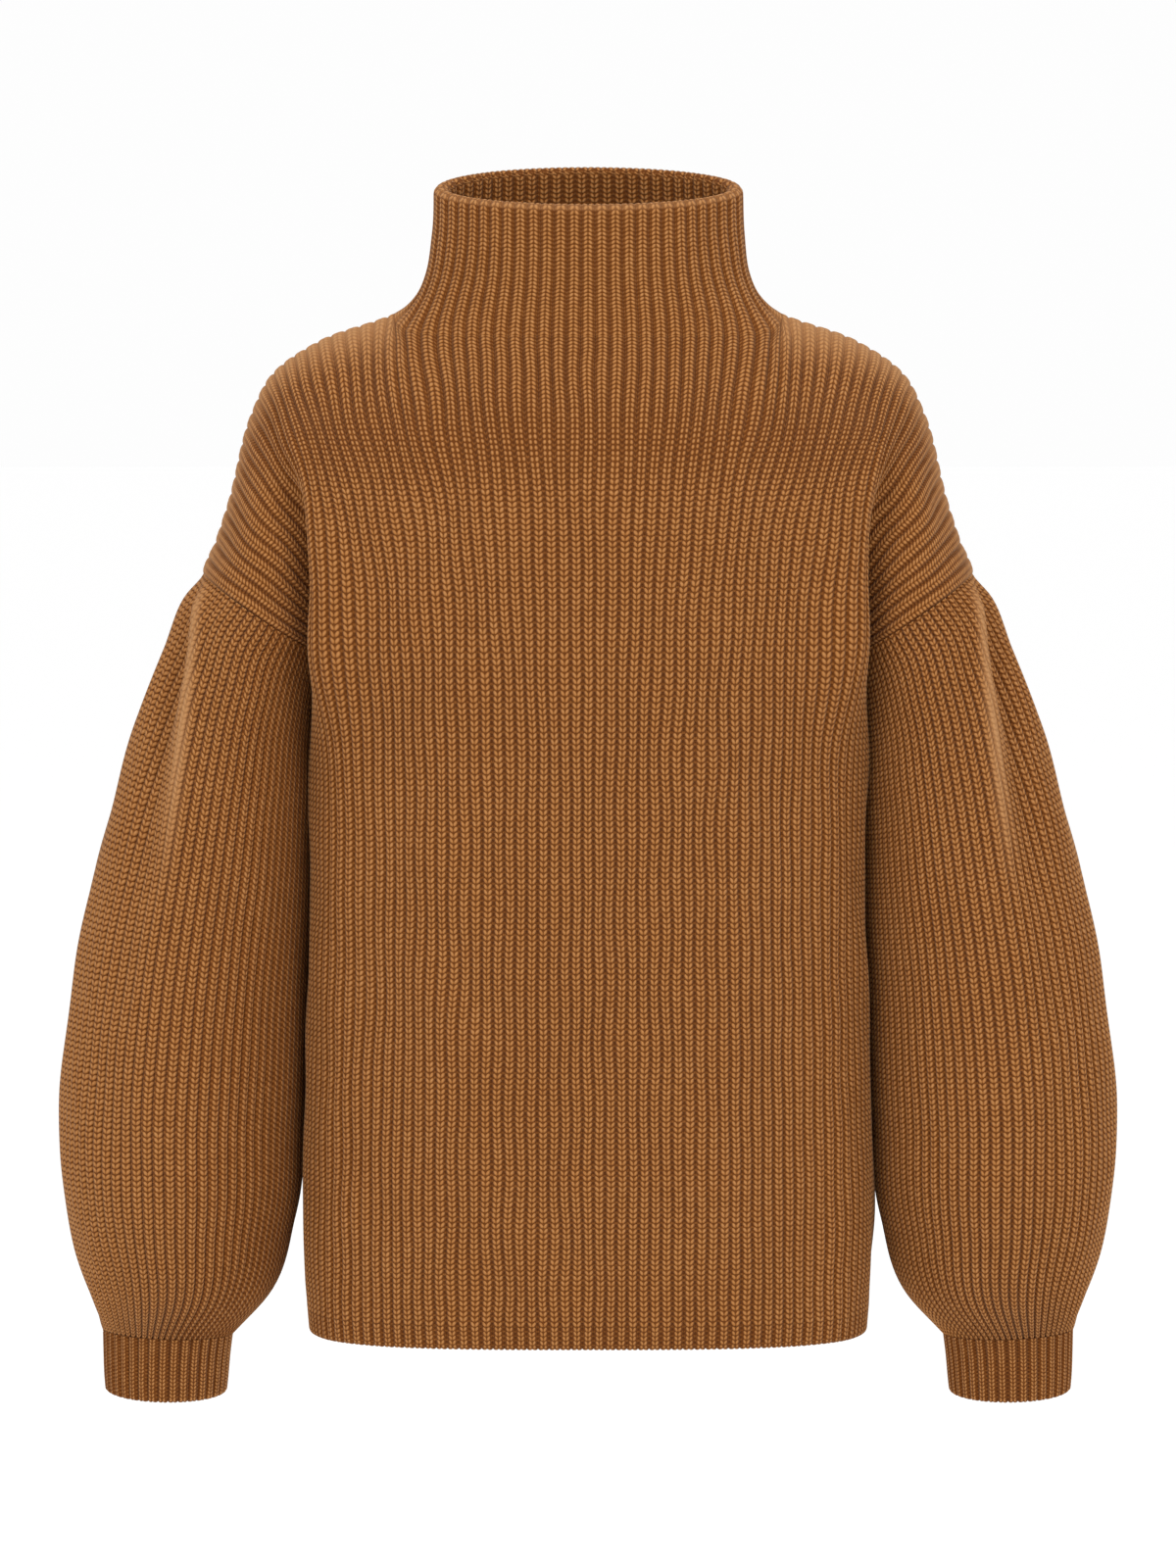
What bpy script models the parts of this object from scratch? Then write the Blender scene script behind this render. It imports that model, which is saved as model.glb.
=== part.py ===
"""Funnel neck sweater in a chunky rib knit, filled out as if worn.

Lengths are in millimetres until a point goes into a mesh, in metres. Out is +X, forward is -Y and
up is +Z. The origin is at the base of the neck, where the wearer's shoulders hold the sweater up.
"""

import bpy
import numpy as np

# Knit
RIB_HEIGHT = 1.8
BODY_WALL = 4.2
NECK_WALL = 9.5
CUFF_WALL = 4.0
SEAM_GAP = 0.3
NECK_CORNER_SLACK = 2.0
NECK_SIDE_LIFT = 1.5
PANEL_HALF_RIBS = 36.5
NECK_HALF_RIBS = 14
SLEEVE_RIBS = 72
CUFF_RIBS = 36

# Torso, from the hem band up: height, half width, forward depth, backward depth, squareness, side pinch
TORSO_ROWS = (
    (-607.0, 171.5, 111.0, 107.0, 3.2, 0.0),
    (-560.0, 174.5, 112.0, 108.0, 3.0, 0.0),
    (-450.0, 174.3, 112.0, 108.0, 2.9, 2.5),
    (-330.0, 171.0, 112.0, 107.0, 2.9, 5.0),
    (-258.0, 171.0, 112.0, 106.0, 2.9, 6.5),
)
ARMPIT_UP = -207.0
PANEL_BOTTOM_UP = -607.0
HEM_BOTTOM_UP = -622.0

# Armhole ring round the upper arm: its low inner point, its high outer point and its half depth
ARMPIT_POINT = (157.0, -211.0)
SHOULDER_POINT = (233.8, -159.0)
ARMHOLE_HALF_DEPTH = 70.0
UNDERARM_POINTEDNESS = 1.3

# Guide lines that climb a panel from the armpit to its top: share of the climb, out, forward, up
FRONT_GUIDES = {
    "middle": (
        (0.00, 0, 112, -205), (0.25, 0, 109, -160), (0.50, 0, 101, -113),
        (0.75, 0, 86, -64), (1.00, 0, 64, -12.5), (1.25, 0, 60, 10),
    ),
    "neck_half": (
        (0.00, 48.4, 111, -205), (0.25, 50.2, 108, -160), (0.50, 52.7, 99, -113),
        (0.75, 58, 82, -64), (1.00, 62, 54.5, -12.5), (1.25, 61, 49, 10),
    ),
    "neck_quarter": (
        (0.00, 72.3, 110, -205), (0.25, 74.1, 106, -159), (0.50, 78.4, 96, -112),
        (0.75, 85.7, 75, -62), (1.00, 92.4, 39.8, -12.2), (1.25, 90, 34, 10),
    ),
    "neck_side": (
        (0.00, 95.6, 108, -205), (0.25, 97.8, 103, -158), (0.50, 103.2, 91, -110),
        (0.75, 112.7, 62, -60), (1.00, 118, 0, -1.2), (1.25, 112, -42, -20),
    ),
    "collar_side": (
        (0.00, 102.2, 107, -205), (0.25, 104.5, 101.8, -157.8), (0.50, 110.2, 90.3, -109.8),
        (0.75, 120, 62, -60.6), (1.00, 126.3, 0, -4.2), (1.25, 119.5, -43, -24),
    ),
    "shoulder": (
        (0.00, 131, 100, -205), (0.25, 134, 96, -157), (0.50, 141, 86, -109),
        (0.75, 152.5, 59, -62), (1.00, 165, 0, -18.2), (1.25, 153, -50, -44),
    ),
    "chest_edge": (
        (0.00, 163.5, 84, -205), (0.25, 165, 83, -156), (0.50, 170, 77, -108),
        (0.75, 181, 54, -70), (1.00, 194.6, 0, -40.4), (1.25, 181, -54, -68),
    ),
    "arm_fold": (
        (0.00, 166, 52, -207), (0.25, 164, 50, -170), (0.50, 169, 57, -120),
        (0.75, 189, 50, -88), (1.00, 204.6, 0, -60.4), (1.25, 188, -50, -86),
    ),
    "arm_front": (
        (0.00, 158, 25, -209), (0.25, 164, 45, -190), (0.50, 185, 65, -152),
        (0.75, 206, 53, -123), (1.00, 219, 0, -114.3), (1.25, 206, -53, -123),
    ),
}
BACK_GUIDES = {
    "middle": (
        (0.00, 0, 106, -205), (0.25, 0, 105, -155), (0.50, 0, 99, -104),
        (0.75, 0, 86, -52), (1.00, 0, 66, 3), (1.25, 0, 62, 28),
    ),
    "neck_half": (
        (0.00, 48.4, 105, -205), (0.25, 50.2, 104, -155), (0.50, 52.7, 97, -104),
        (0.75, 58, 82, -53), (1.00, 62, 56.2, 2), (1.25, 61, 51, 25),
    ),
    "neck_quarter": (
        (0.00, 72.3, 104.5, -205), (0.25, 74.1, 102, -155), (0.50, 78.4, 94, -105),
        (0.75, 85.7, 75, -54), (1.00, 92.4, 41, 1.6), (1.25, 90, 36, 22),
    ),
    "neck_side": (
        (0.00, 95.6, 103, -205), (0.25, 97.8, 100, -156), (0.50, 103.2, 90, -106),
        (0.75, 112.7, 62, -54), (1.00, 118, 0, -1.2), (1.25, 112, -42, -20),
    ),
    "collar_side": (
        (0.00, 102.2, 102, -205), (0.25, 104.5, 98.8, -156), (0.50, 110.2, 89.3, -106.2),
        (0.75, 120, 62, -55.3), (1.00, 126.3, 0, -4.2), (1.25, 119.5, -43, -24),
    ),
    "shoulder": (
        (0.00, 131, 95, -205), (0.25, 134, 93, -156), (0.50, 141, 85, -107),
        (0.75, 152.5, 59, -60), (1.00, 165, 0, -18.2), (1.25, 153, -50, -44),
    ),
    "chest_edge": (
        (0.00, 163.5, 80, -205), (0.25, 165, 79, -156), (0.50, 170, 76, -108),
        (0.75, 181, 54, -70), (1.00, 194.6, 0, -40.4), (1.25, 181, -54, -68),
    ),
    "arm_fold": (
        (0.00, 166, 50, -207), (0.25, 164, 49, -170), (0.50, 169, 56, -120),
        (0.75, 189, 50, -88), (1.00, 204.6, 0, -60.4), (1.25, 188, -50, -86),
    ),
    "arm_front": (
        (0.00, 158, 25, -209), (0.25, 164, 45, -190), (0.50, 185, 65, -152),
        (0.75, 206, 53, -123), (1.00, 219, 0, -114.3), (1.25, 206, -53, -123),
    ),
}
# The rib that each of the inner guide lines follows
GUIDE_RIBS = {
    "middle": 0, "neck_half": 7, "neck_quarter": 10.5, "neck_side": 14, "collar_side": 15,
    "shoulder": 19.5, "chest_edge": 24,
}
# Where each guide line lies on a torso row, as a share of the way from the middle to the side
TORSO_SHARES = {
    "middle": 0.0, "neck_half": 0.195, "neck_quarter": 0.295, "neck_side": 0.396,
    "collar_side": 0.424, "shoulder": 0.548, "chest_edge": 0.69, "arm_fold": 0.81,
    "arm_front": 0.92, "side": 1.0,
}

# Funnel neck from its base to its rim: share of the climb, half width, half depth at the front and
# back, heights of the front, side and back, how square the slopes from side to front and back are, and
# how far round the quarter oval the half and three-quarter ribs lie
NECK_ROWS = (
    (0.00, 118.0, 64.0, 66.0, -12.5, -1.2, 3.0, 4.0, 1.2, 0.431, 0.663),
    (0.10, 111.1, 62.0, 63.5, -4.0, 3.2, 12.0, 3.2, 1.2, 0.447, 0.691),
    (0.23, 103.9, 60.0, 61.0, 6.5, 11.0, 23.5, 2.4, 1.1, 0.463, 0.712),
    (0.41, 98.0, 58.5, 59.0, 20.0, 24.5, 39.0, 1.7, 1.0, 0.471, 0.715),
    (0.67, 94.8, 57.7, 58.0, 40.0, 48.0, 60.5, 1.2, 1.0, 0.474, 0.705),
    (1.00, 93.6, 57.5, 57.5, 64.3, 76.8, 88.6, 1.0, 1.0, 0.477, 0.704),
)
NECK_FIT_START = 0.55

# Sleeve from its head to the cuff: share of the way, outer point out and up, inner point out and
# up, half depth, forward shift, tuck depth and the tuck's angle from the inner point
SLEEVE_ROWS = (
    (0.00, 234.6, -160.5, 159.2, -213.2, 69.5, 0.0, 0.0, 152.0),
    (0.03, 241.6, -169.5, 162.5, -224.0, 71.0, 0.0, 3.0, 143.0),
    (0.10, 256.6, -203.0, 167.2, -254.0, 73.5, 0.0, 7.0, 128.0),
    (0.22, 276.0, -251.0, 168.8, -296.0, 76.5, 0.0, 8.0, 118.0),
    (0.38, 296.4, -322.0, 170.5, -350.0, 79.5, 1.0, 6.5, 111.0),
    (0.56, 313.8, -402.0, 173.3, -415.0, 81.0, 2.0, 4.0, 109.0),
    (0.74, 322.8, -487.0, 176.5, -490.0, 81.0, 4.0, 1.5, 110.0),
    (0.88, 317.5, -557.0, 181.5, -553.0, 77.0, 5.0, 0.0, 110.0),
    (0.96, 304.5, -602.0, 196.5, -601.0, 61.0, 6.0, 0.0, 110.0),
    (1.00, 297.6, -622.0, 218.5, -625.0, 39.5, 6.0, 0.0, 110.0),
)
TUCK_RIDGE_SHARE = 0.45
TUCK_RIDGE_DEGREES = 8.0
TUCK_VALLEY_DEGREES = 12.0
TUCK_VALLEY_OFFSET = 17.0

# Cuff, in the same columns without the tuck
CUFF_ROWS = (
    (0.00, 297.4, -622.6, 218.9, -625.6, 38.6),
    (0.30, 297.2, -634.0, 220.3, -636.5, 37.2),
    (0.80, 296.6, -652.5, 222.0, -654.5, 36.6),
    (1.00, 296.0, -660.0, 222.8, -661.5, 36.2),
)
CUFF_FORWARD = 6.0
CUFF_FRONT_DIP = 3.0

# Rows of points up each piece, and how many half ribs pass between two columns of its plain inside
PANEL_CLIMBS = (-2.0, -1.2, -0.5, 0.0, 0.18, 0.36, 0.54, 0.72, 0.87, 1.0)
NECK_CLIMBS = (0.0, 0.14, 0.4, 0.94, 1.0)
NECK_ROW_WALLS = (BODY_WALL, 5.0, 7.0, NECK_WALL, NECK_WALL - 3.6)
NECK_RIM_ROUNDING = 1.6
SLEEVE_CLIMBS = (0.0, 0.045, 0.13, 0.28, 0.48, 0.7, 0.88, 0.965, 1.0)
CUFF_CLIMBS = (0.0, 0.3, 1.0)
RING_INNER_STEP = 4
SLEEVE_INNER_STEP = 6
PANEL_WIDE_INNER_RIBS = 22
HEM_NARROWING = (0.993, 0.99, 1.0)
SHARP_EDGE_DEGREES = 75

YARN_COLOUR = (0.36, 0.155, 0.045, 1.0)
YARN_ROUGHNESS = 0.9


def smooth_through(knots, values, at):
    """A smooth curve through the values at the knots, read at each place in at."""
    knots = np.asarray(knots, float)
    values = np.asarray(values, float)
    at = np.asarray(at, float)
    steps = np.diff(knots)
    slopes = np.diff(values, axis=0) / steps.reshape((-1,) + (1,) * (values.ndim - 1))
    tangents = np.empty_like(values)
    tangents[0] = slopes[0]
    tangents[-1] = slopes[-1]
    for i in range(1, len(knots) - 1):
        both = steps[i - 1] + steps[i]
        tangents[i] = (slopes[i - 1] * steps[i] + slopes[i] * steps[i - 1]) / both
    cell = np.clip(np.searchsorted(knots, at, side="right") - 1, 0, len(knots) - 2)
    step = steps[cell]
    u = (at - knots[cell]) / step
    shape = (-1,) + (1,) * (values.ndim - 1)
    u = u.reshape(shape)
    step = step.reshape(shape)
    start = values[cell] * (1 + 2 * u) * (1 - u) ** 2 + tangents[cell] * step * u * (1 - u) ** 2
    end = values[cell + 1] * u ** 2 * (3 - 2 * u) - tangents[cell + 1] * step * u ** 2 * (1 - u)
    return start + end


def lengths_along(points):
    steps = np.linalg.norm(np.diff(points, axis=0), axis=1)
    return np.concatenate([[0.0], np.cumsum(steps)])


def mirrored(point, out=1, forward=1):
    return point * np.array([out, forward, 1.0])


def sideways(ribs):
    """The direction away from the middle, on each rib's side of the sweater."""
    return np.sign(ribs)[:, None] * np.array([1.0, 0.0, 0.0])


def torso_quarter(row, face):
    """Points from the middle of the front or back to the side, along one torso section."""
    up, half_width, forward_depth, backward_depth, squareness, pinch = row
    depth = forward_depth if face == "front" else backward_depth
    angles = np.linspace(0.0, np.pi / 2, 181)
    out = half_width * np.sin(angles) ** (2 / squareness)
    forward = depth * np.cos(angles) ** (2 / squareness)
    out = out - pinch * np.clip(1 - forward / (0.6 * depth), 0, 1) ** 2
    return np.stack([out, forward, np.full_like(out, up)], axis=1)


def torso_guides(face):
    """Each guide line's points on the torso rows, with their place on the climb below the armpit."""
    guides = {name: [] for name in TORSO_SHARES}
    for row in TORSO_ROWS:
        quarter = torso_quarter(row, face)
        lengths = lengths_along(quarter)
        climb = (row[0] - ARMPIT_UP) / (ARMPIT_UP - PANEL_BOTTOM_UP) * 2
        for name, share in TORSO_SHARES.items():
            point = [np.interp(share * lengths[-1], lengths, quarter[:, k]) for k in range(3)]
            guides[name].append((climb, *point))
    return guides


def armhole_point(share):
    """A point of the armhole ring, from the armpit (0) over the front to the shoulder (1)."""
    inner = np.array(ARMPIT_POINT)
    outer = np.array(SHOULDER_POINT)
    angle = np.pi * np.asarray(share, float)
    across = (inner + outer) / 2 - (outer - inner) / 2 * np.cos(angle)[..., None]
    power = np.where(angle < np.pi / 2, UNDERARM_POINTEDNESS, 1.0)
    forward = ARMHOLE_HALF_DEPTH * np.clip(np.sin(angle), 0, 1) ** power
    return np.stack([across[..., 0], forward, across[..., 1]], axis=-1)


def panel_guides(face, climbs):
    """The guide lines of a panel, read at each climb, with the side seam and armhole last."""
    upper = FRONT_GUIDES if face == "front" else BACK_GUIDES
    lower = torso_guides(face)
    lines = []
    for name, rows_above in upper.items():
        rows = np.array(lower[name] + list(rows_above), float)
        lines.append(smooth_through(rows[:, 0], rows[:, 1:], climbs))
    side = np.array(lower["side"] + [(0.0, ARMPIT_POINT[0], 0.0, ARMPIT_POINT[1])], float)
    below = smooth_through(side[:, 0], side[:, 1:], np.minimum(climbs, 0))
    above = armhole_point(np.clip(climbs, 0, 1))
    lines.append(np.where((climbs < 0)[:, None], below, above))
    return np.stack(lines, axis=1)


def panel_rows(face, ribs, climbs):
    """Points [climb, rib] on the middle of a panel's rib relief. Negative ribs are on the other side."""
    ribs = np.asarray(ribs, float)
    climbs = np.asarray(climbs, float)
    lines = panel_guides(face, climbs)
    anchors = list(GUIDE_RIBS.values()) + [PANEL_HALF_RIBS]
    surface = np.empty((len(climbs), len(ribs), 3))
    for i, climb in enumerate(climbs):
        neck_half, neck_quarter = lines[i][1:3]
        arm_front, edge = lines[i][-2:]
        round_side = mirrored(arm_front, forward=-1)
        beyond = edge + 0.8 * (edge - arm_front)
        blend = np.clip(climb / 0.2, 0, 1)
        beyond = round_side * (1 - blend) + beyond * blend
        points = np.array([
            mirrored(neck_quarter, out=-1), mirrored(neck_half, out=-1), *lines[i], beyond,
        ])
        chords = lengths_along(points)
        fine = np.linspace(chords[2], chords[-2], 241)
        row = smooth_through(chords, points, fine)
        row[:, 1] = np.maximum(row[:, 1], 0)
        lengths = lengths_along(row)
        marked = list(range(2, 2 + len(GUIDE_RIBS))) + [-2]
        marks = [np.interp(chords[k], fine, lengths) for k in marked]
        along = smooth_through(anchors, marks, np.abs(ribs))
        for k in range(3):
            surface[i, :, k] = np.interp(along, lengths, row[:, k])
        surface[i, :, 0] *= np.where(ribs < 0, -1, 1)
    surface[..., 1] *= -1 if face == "front" else 1
    return surface


def panel_surface(face, ribs, climbs):
    """Points [climb, rib] of a panel whose top runs along the base of the funnel neck."""
    ribs = np.asarray(ribs, float)
    climbs = np.asarray(climbs, float)
    surface = panel_rows(face, ribs, climbs)
    round_ribs = ribs if face == "front" else 2 * NECK_HALF_RIBS - ribs
    miss = neck_surface(round_ribs, [0.0])[0] - panel_rows(face, ribs, [1.0])[0]
    miss[np.abs(ribs) >= NECK_HALF_RIBS] = 0
    near = np.clip((climbs - NECK_FIT_START) / (1 - NECK_FIT_START), 0, 1)
    near = near ** 2 * (3 - 2 * near)
    return surface + near[:, None, None] * miss


def neck_surface(ribs, climbs):
    """Points [climb, rib] round the funnel. Rib 0 is the middle front, and they run towards +X."""
    ribs = np.asarray(ribs, float)
    rows = np.array(NECK_ROWS)
    values = smooth_through(rows[:, 0], rows[:, 1:], climbs)
    quarter = ribs / NECK_HALF_RIBS % 4
    surface = np.empty((len(values), len(ribs), 3))
    for i, row in enumerate(values):
        half_width, front_depth, back_depth, front_up, side_up, back_up = row[:6]
        front_square, back_square, half_share, late_share = row[6:]
        for q in range(4):
            here = (quarter >= q) & (quarter < q + 1)
            is_front = q in (0, 3)
            from_middle = quarter[here] - q if q % 2 == 0 else q + 1 - quarter[here]
            depth = front_depth if is_front else back_depth
            middle_up = front_up if is_front else back_up
            squareness = front_square if is_front else back_square
            angles = np.linspace(0, np.pi / 2, 91)
            oval = np.stack([half_width * np.sin(angles), depth * np.cos(angles)], axis=1)
            lengths = lengths_along(oval)
            share = smooth_through((0, 0.5, 0.75, 1), (0, half_share, late_share, 1), from_middle)
            out = np.interp(share * lengths[-1], lengths, oval[:, 0])
            forward = np.interp(share * lengths[-1], lengths, oval[:, 1])
            slope = 1 - (1 - np.clip(forward / depth, 0, 1)) ** squareness
            surface[i, here, 0] = out * (1 if q < 2 else -1)
            surface[i, here, 1] = forward * (-1 if is_front else 1)
            surface[i, here, 2] = side_up + (middle_up - side_up) * slope
    return surface


def neck_normals(ribs, climbs):
    """Unit normals of the funnel, from points a little to each side and a little up."""
    step = 0.02
    along = neck_surface(ribs + step, climbs) - neck_surface(ribs - step, climbs)
    up = neck_surface(ribs, np.minimum(climbs + step, 1)) - neck_surface(ribs, np.maximum(climbs - step, 0))
    normals = np.cross(along, up)
    at_side = np.asarray(ribs) % (2 * NECK_HALF_RIBS) == NECK_HALF_RIBS
    normals[:, at_side, 1] = 0
    return normals / np.linalg.norm(normals, axis=2, keepdims=True)


def sleeve_ring(row, shares):
    """Points round one sleeve section, at even steps along it from its inner point over the front."""
    outer = row[[0, 1]]
    inner = row[[2, 3]]
    half_depth, shift = row[4], row[5]
    angles = np.linspace(0, 2 * np.pi, 721)
    push = np.zeros_like(angles)
    if len(row) > 6:
        tuck, ridge = row[6], np.radians(row[7])
        for side in (1, -1):
            turn = angles if side == 1 else 2 * np.pi - angles
            crest = np.exp(-(((turn - ridge) / np.radians(TUCK_RIDGE_DEGREES)) ** 2))
            floor = ridge + np.radians(TUCK_VALLEY_OFFSET)
            dip = np.exp(-(((turn - floor) / np.radians(TUCK_VALLEY_DEGREES)) ** 2))
            push += tuck * (TUCK_RIDGE_SHARE * crest - dip)
    reach = (outer - inner) / 2
    half = np.linalg.norm(reach)
    across = (outer + inner) / 2 - np.outer((1 + push / half) * np.cos(angles), reach)
    forward = (half_depth + push) * np.sin(angles) + shift
    ring = np.stack([across[:, 0], forward, across[:, 1]], axis=1)
    lengths = lengths_along(ring)
    at = np.asarray(shares) * lengths[-1]
    return np.stack([np.interp(at, lengths, ring[:, k]) for k in range(3)], axis=1)


def sleeve_surface(table, ribs, rib_count, climbs, front_dip=0.0):
    rows = np.array(table, float)
    values = smooth_through(rows[:, 0], rows[:, 1:], climbs)
    if values.shape[1] == 5:
        values = np.insert(values, 5, CUFF_FORWARD, axis=1)
    rings = []
    for climb, row in zip(climbs, values):
        ring = sleeve_ring(row, np.asarray(ribs) / rib_count)
        dip = front_dip * max(climb - 0.3, 0) / 0.7
        ring[:, 2] -= dip * (ring[:, 1] - row[5]) / row[4]
        rings.append(ring)
    surface = np.array(rings)
    surface[..., 1] *= -1
    return surface


def outward(surface, closed):
    """Unit normals of a grid of points, [climb, rib], facing away from the cloth's hollow side."""
    if closed:
        along = np.roll(surface, -1, axis=1) - np.roll(surface, 1, axis=1)
    else:
        along = np.gradient(surface, axis=1)
    up = np.gradient(surface, axis=0)
    normals = np.cross(along, up)
    return normals / np.linalg.norm(normals, axis=2, keepdims=True)


def rib_relief(ribs):
    """Half a rib's height up on each rib and down between ribs."""
    return RIB_HEIGHT / 2 * np.cos(2 * np.pi * np.asarray(ribs, float))


def fan(inner_pair, outer_run):
    """Triangles that join two inner points to the run of outer points over them."""
    middle = len(outer_run) // 2
    faces = [(inner_pair[0], inner_pair[1], outer_run[middle])]
    for j in range(len(outer_run) - 1):
        apex = inner_pair[0] if j < middle else inner_pair[1]
        faces.append((apex, outer_run[j + 1], outer_run[j]))
    return faces


def wall_faces(outer_ids, inner_ids, inner_columns, closed):
    """Faces of a wall between an outer grid of ids and an inner one under some of its columns."""
    rows, columns = outer_ids.shape
    faces = []
    for i in range(rows - 1):
        for j in range(columns if closed else columns - 1):
            k = (j + 1) % columns
            faces.append((outer_ids[i, j], outer_ids[i, k], outer_ids[i + 1, k], outer_ids[i + 1, j]))
        for j in range(len(inner_columns) if closed else len(inner_columns) - 1):
            k = (j + 1) % len(inner_columns)
            faces.append((inner_ids[i, j], inner_ids[i + 1, j], inner_ids[i + 1, k], inner_ids[i, k]))
        if not closed:
            faces.append((outer_ids[i, 0], outer_ids[i + 1, 0], inner_ids[i + 1, 0], inner_ids[i, 0]))
            faces.append((outer_ids[i, -1], inner_ids[i, -1], inner_ids[i + 1, -1], outer_ids[i + 1, -1]))
    for i in (0, rows - 1):
        for j in range(len(inner_columns) if closed else len(inner_columns) - 1):
            k = (j + 1) % len(inner_columns)
            last = inner_columns[k] if inner_columns[k] > inner_columns[j] else columns
            run = [outer_ids[i, c % columns] for c in range(inner_columns[j], last + 1)]
            edge = fan((inner_ids[i, j], inner_ids[i, k]), run)
            faces += edge if i == 0 else [face[::-1] for face in edge]
    return faces


def knit_material(name):
    material = bpy.data.materials.new(name)
    material.use_nodes = True
    shader = material.node_tree.nodes["Principled BSDF"]
    shader.inputs["Base Color"].default_value = YARN_COLOUR
    shader.inputs["Roughness"].default_value = YARN_ROUGHNESS
    shader.inputs["Metallic"].default_value = 0.0
    return material


def add_wall(name, surface, normals, relief, wall, inner_columns, closed, flip=False):
    """Makes one closed wall with the ribs raised on its outside over a plain inside."""
    outer = surface + normals * relief[..., None]
    depth = (wall - RIB_HEIGHT / 2)
    inner = (surface - normals * depth[:, None, None])[:, inner_columns]
    if flip:
        outer = outer * np.array([-1, 1, 1])
        inner = inner * np.array([-1, 1, 1])
    points = np.concatenate([outer.reshape(-1, 3), inner.reshape(-1, 3)]) / 1000
    outer_ids = np.arange(outer.shape[0] * outer.shape[1]).reshape(outer.shape[:2])
    inner_ids = np.arange(inner.shape[0] * inner.shape[1]).reshape(inner.shape[:2]) + outer_ids.size
    faces = wall_faces(outer_ids, inner_ids, inner_columns, closed)
    if flip:
        faces = [face[::-1] for face in faces]
    mesh = bpy.data.meshes.new(name)
    mesh.from_pydata([tuple(point) for point in points], [], [tuple(map(int, face)) for face in faces])
    mesh.materials.append(knit_material(name + "_knit"))
    mesh.shade_smooth()
    mesh.set_sharp_from_angle(angle=np.radians(SHARP_EDGE_DEGREES))
    obj = bpy.data.objects.new(name, mesh)
    bpy.context.scene.collection.objects.link(obj)
    return obj


def add_panel(face):
    """The front or back: torso below the armpit, chest and dropped shoulder above it."""
    ribs = np.arange(-2 * PANEL_HALF_RIBS, 2 * PANEL_HALF_RIBS + 1) / 2
    climbs = np.array(PANEL_CLIMBS)
    reach = 1e-3
    surface = panel_surface(face, ribs, climbs)
    above = panel_surface(face, ribs, np.minimum(climbs + reach, 1.0 + reach))
    below = panel_surface(face, ribs, climbs - reach)
    wider = panel_surface(face, np.clip(ribs + 0.05, -PANEL_HALF_RIBS, PANEL_HALF_RIBS), climbs)
    closer = panel_surface(face, np.clip(ribs - 0.05, -PANEL_HALF_RIBS, PANEL_HALF_RIBS), climbs)
    on_seam = (np.abs(ribs)[None, :] > NECK_HALF_RIBS - 1) & (climbs[:, None] > 0.99)
    on_side = (np.abs(ribs)[None, :] > PANEL_HALF_RIBS - 0.1) & (climbs[:, None] < 0.01)
    to_other_panel = np.array([0.0, 1.0 if face == "front" else -1.0, 0.0])
    along = wider - closer
    along[on_side] = np.broadcast_to(to_other_panel * np.sign(ribs)[:, None], along.shape)[on_side]
    up = above - below
    up[on_seam] = to_other_panel
    normals = np.cross(along, up)
    if face == "back":
        normals = -normals
    normals[0, :, 2] = 0
    normals /= np.linalg.norm(normals, axis=2, keepdims=True)
    neck_line = np.abs(ribs) < NECK_HALF_RIBS
    round_ribs = ribs if face == "front" else 2 * NECK_HALF_RIBS - ribs
    neck_side = np.abs(ribs) == NECK_HALF_RIBS
    normals[-1, neck_line] = neck_normals(round_ribs[neck_line], np.array([0.0]))[0]
    normals[-1, neck_side] = neck_normals(round_ribs[neck_side], np.array([0.0]))[0]
    inset = SEAM_GAP / 2 * (-1 if face == "front" else 1)
    surface[..., 1] += np.where(on_seam | on_side, inset, 0)
    downward = np.cross(along[-1], normals[-1])
    downward *= -np.sign((downward * up[-1]).sum(axis=1))[:, None]
    downward /= np.linalg.norm(downward, axis=1, keepdims=True)
    gaps = SEAM_GAP * (1 + NECK_CORNER_SLACK * (np.abs(ribs) / NECK_HALF_RIBS) ** 4)[:, None]
    surface[-1, neck_line] += (gaps * downward)[neck_line]
    surface[-1, neck_side] += (gaps * sideways(ribs))[neck_side]
    relief = np.broadcast_to(rib_relief(ribs), surface.shape[:2])
    columns = [
        i for i, rib in enumerate(ribs)
        if (rib % 1 == 0.5 if abs(rib) > PANEL_WIDE_INNER_RIBS else rib % 2 == 0)
    ]
    columns = sorted(set(columns) | {0, len(ribs) - 1})
    if face == "back":
        surface, normals, relief = surface[:, ::-1], normals[:, ::-1], relief[:, ::-1]
        columns = [len(ribs) - 1 - column for column in columns][::-1]
    wall = np.full(len(climbs), BODY_WALL)
    return add_wall(face, surface, normals, relief, wall, columns, closed=False)


def add_funnel_neck():
    """The funnel, thicker towards its rounded rim."""
    ribs = np.arange(8 * NECK_HALF_RIBS) / 2
    climbs = np.array(NECK_CLIMBS)
    surface = neck_surface(ribs, climbs)
    normals = neck_normals(ribs, climbs)
    to_side = 1 - np.abs(ribs % (2 * NECK_HALF_RIBS) - NECK_HALF_RIBS) / NECK_HALF_RIBS
    surface[0, :, 2] += NECK_SIDE_LIFT * to_side ** 4
    relief = np.repeat(rib_relief(ribs)[None, :], len(climbs), axis=0)
    relief[-1] -= NECK_RIM_ROUNDING
    wall = np.array(NECK_ROW_WALLS)
    columns = list(range(0, len(ribs), RING_INNER_STEP))
    return add_wall("funnel_neck", surface, normals, relief, wall, columns, closed=True)


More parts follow.
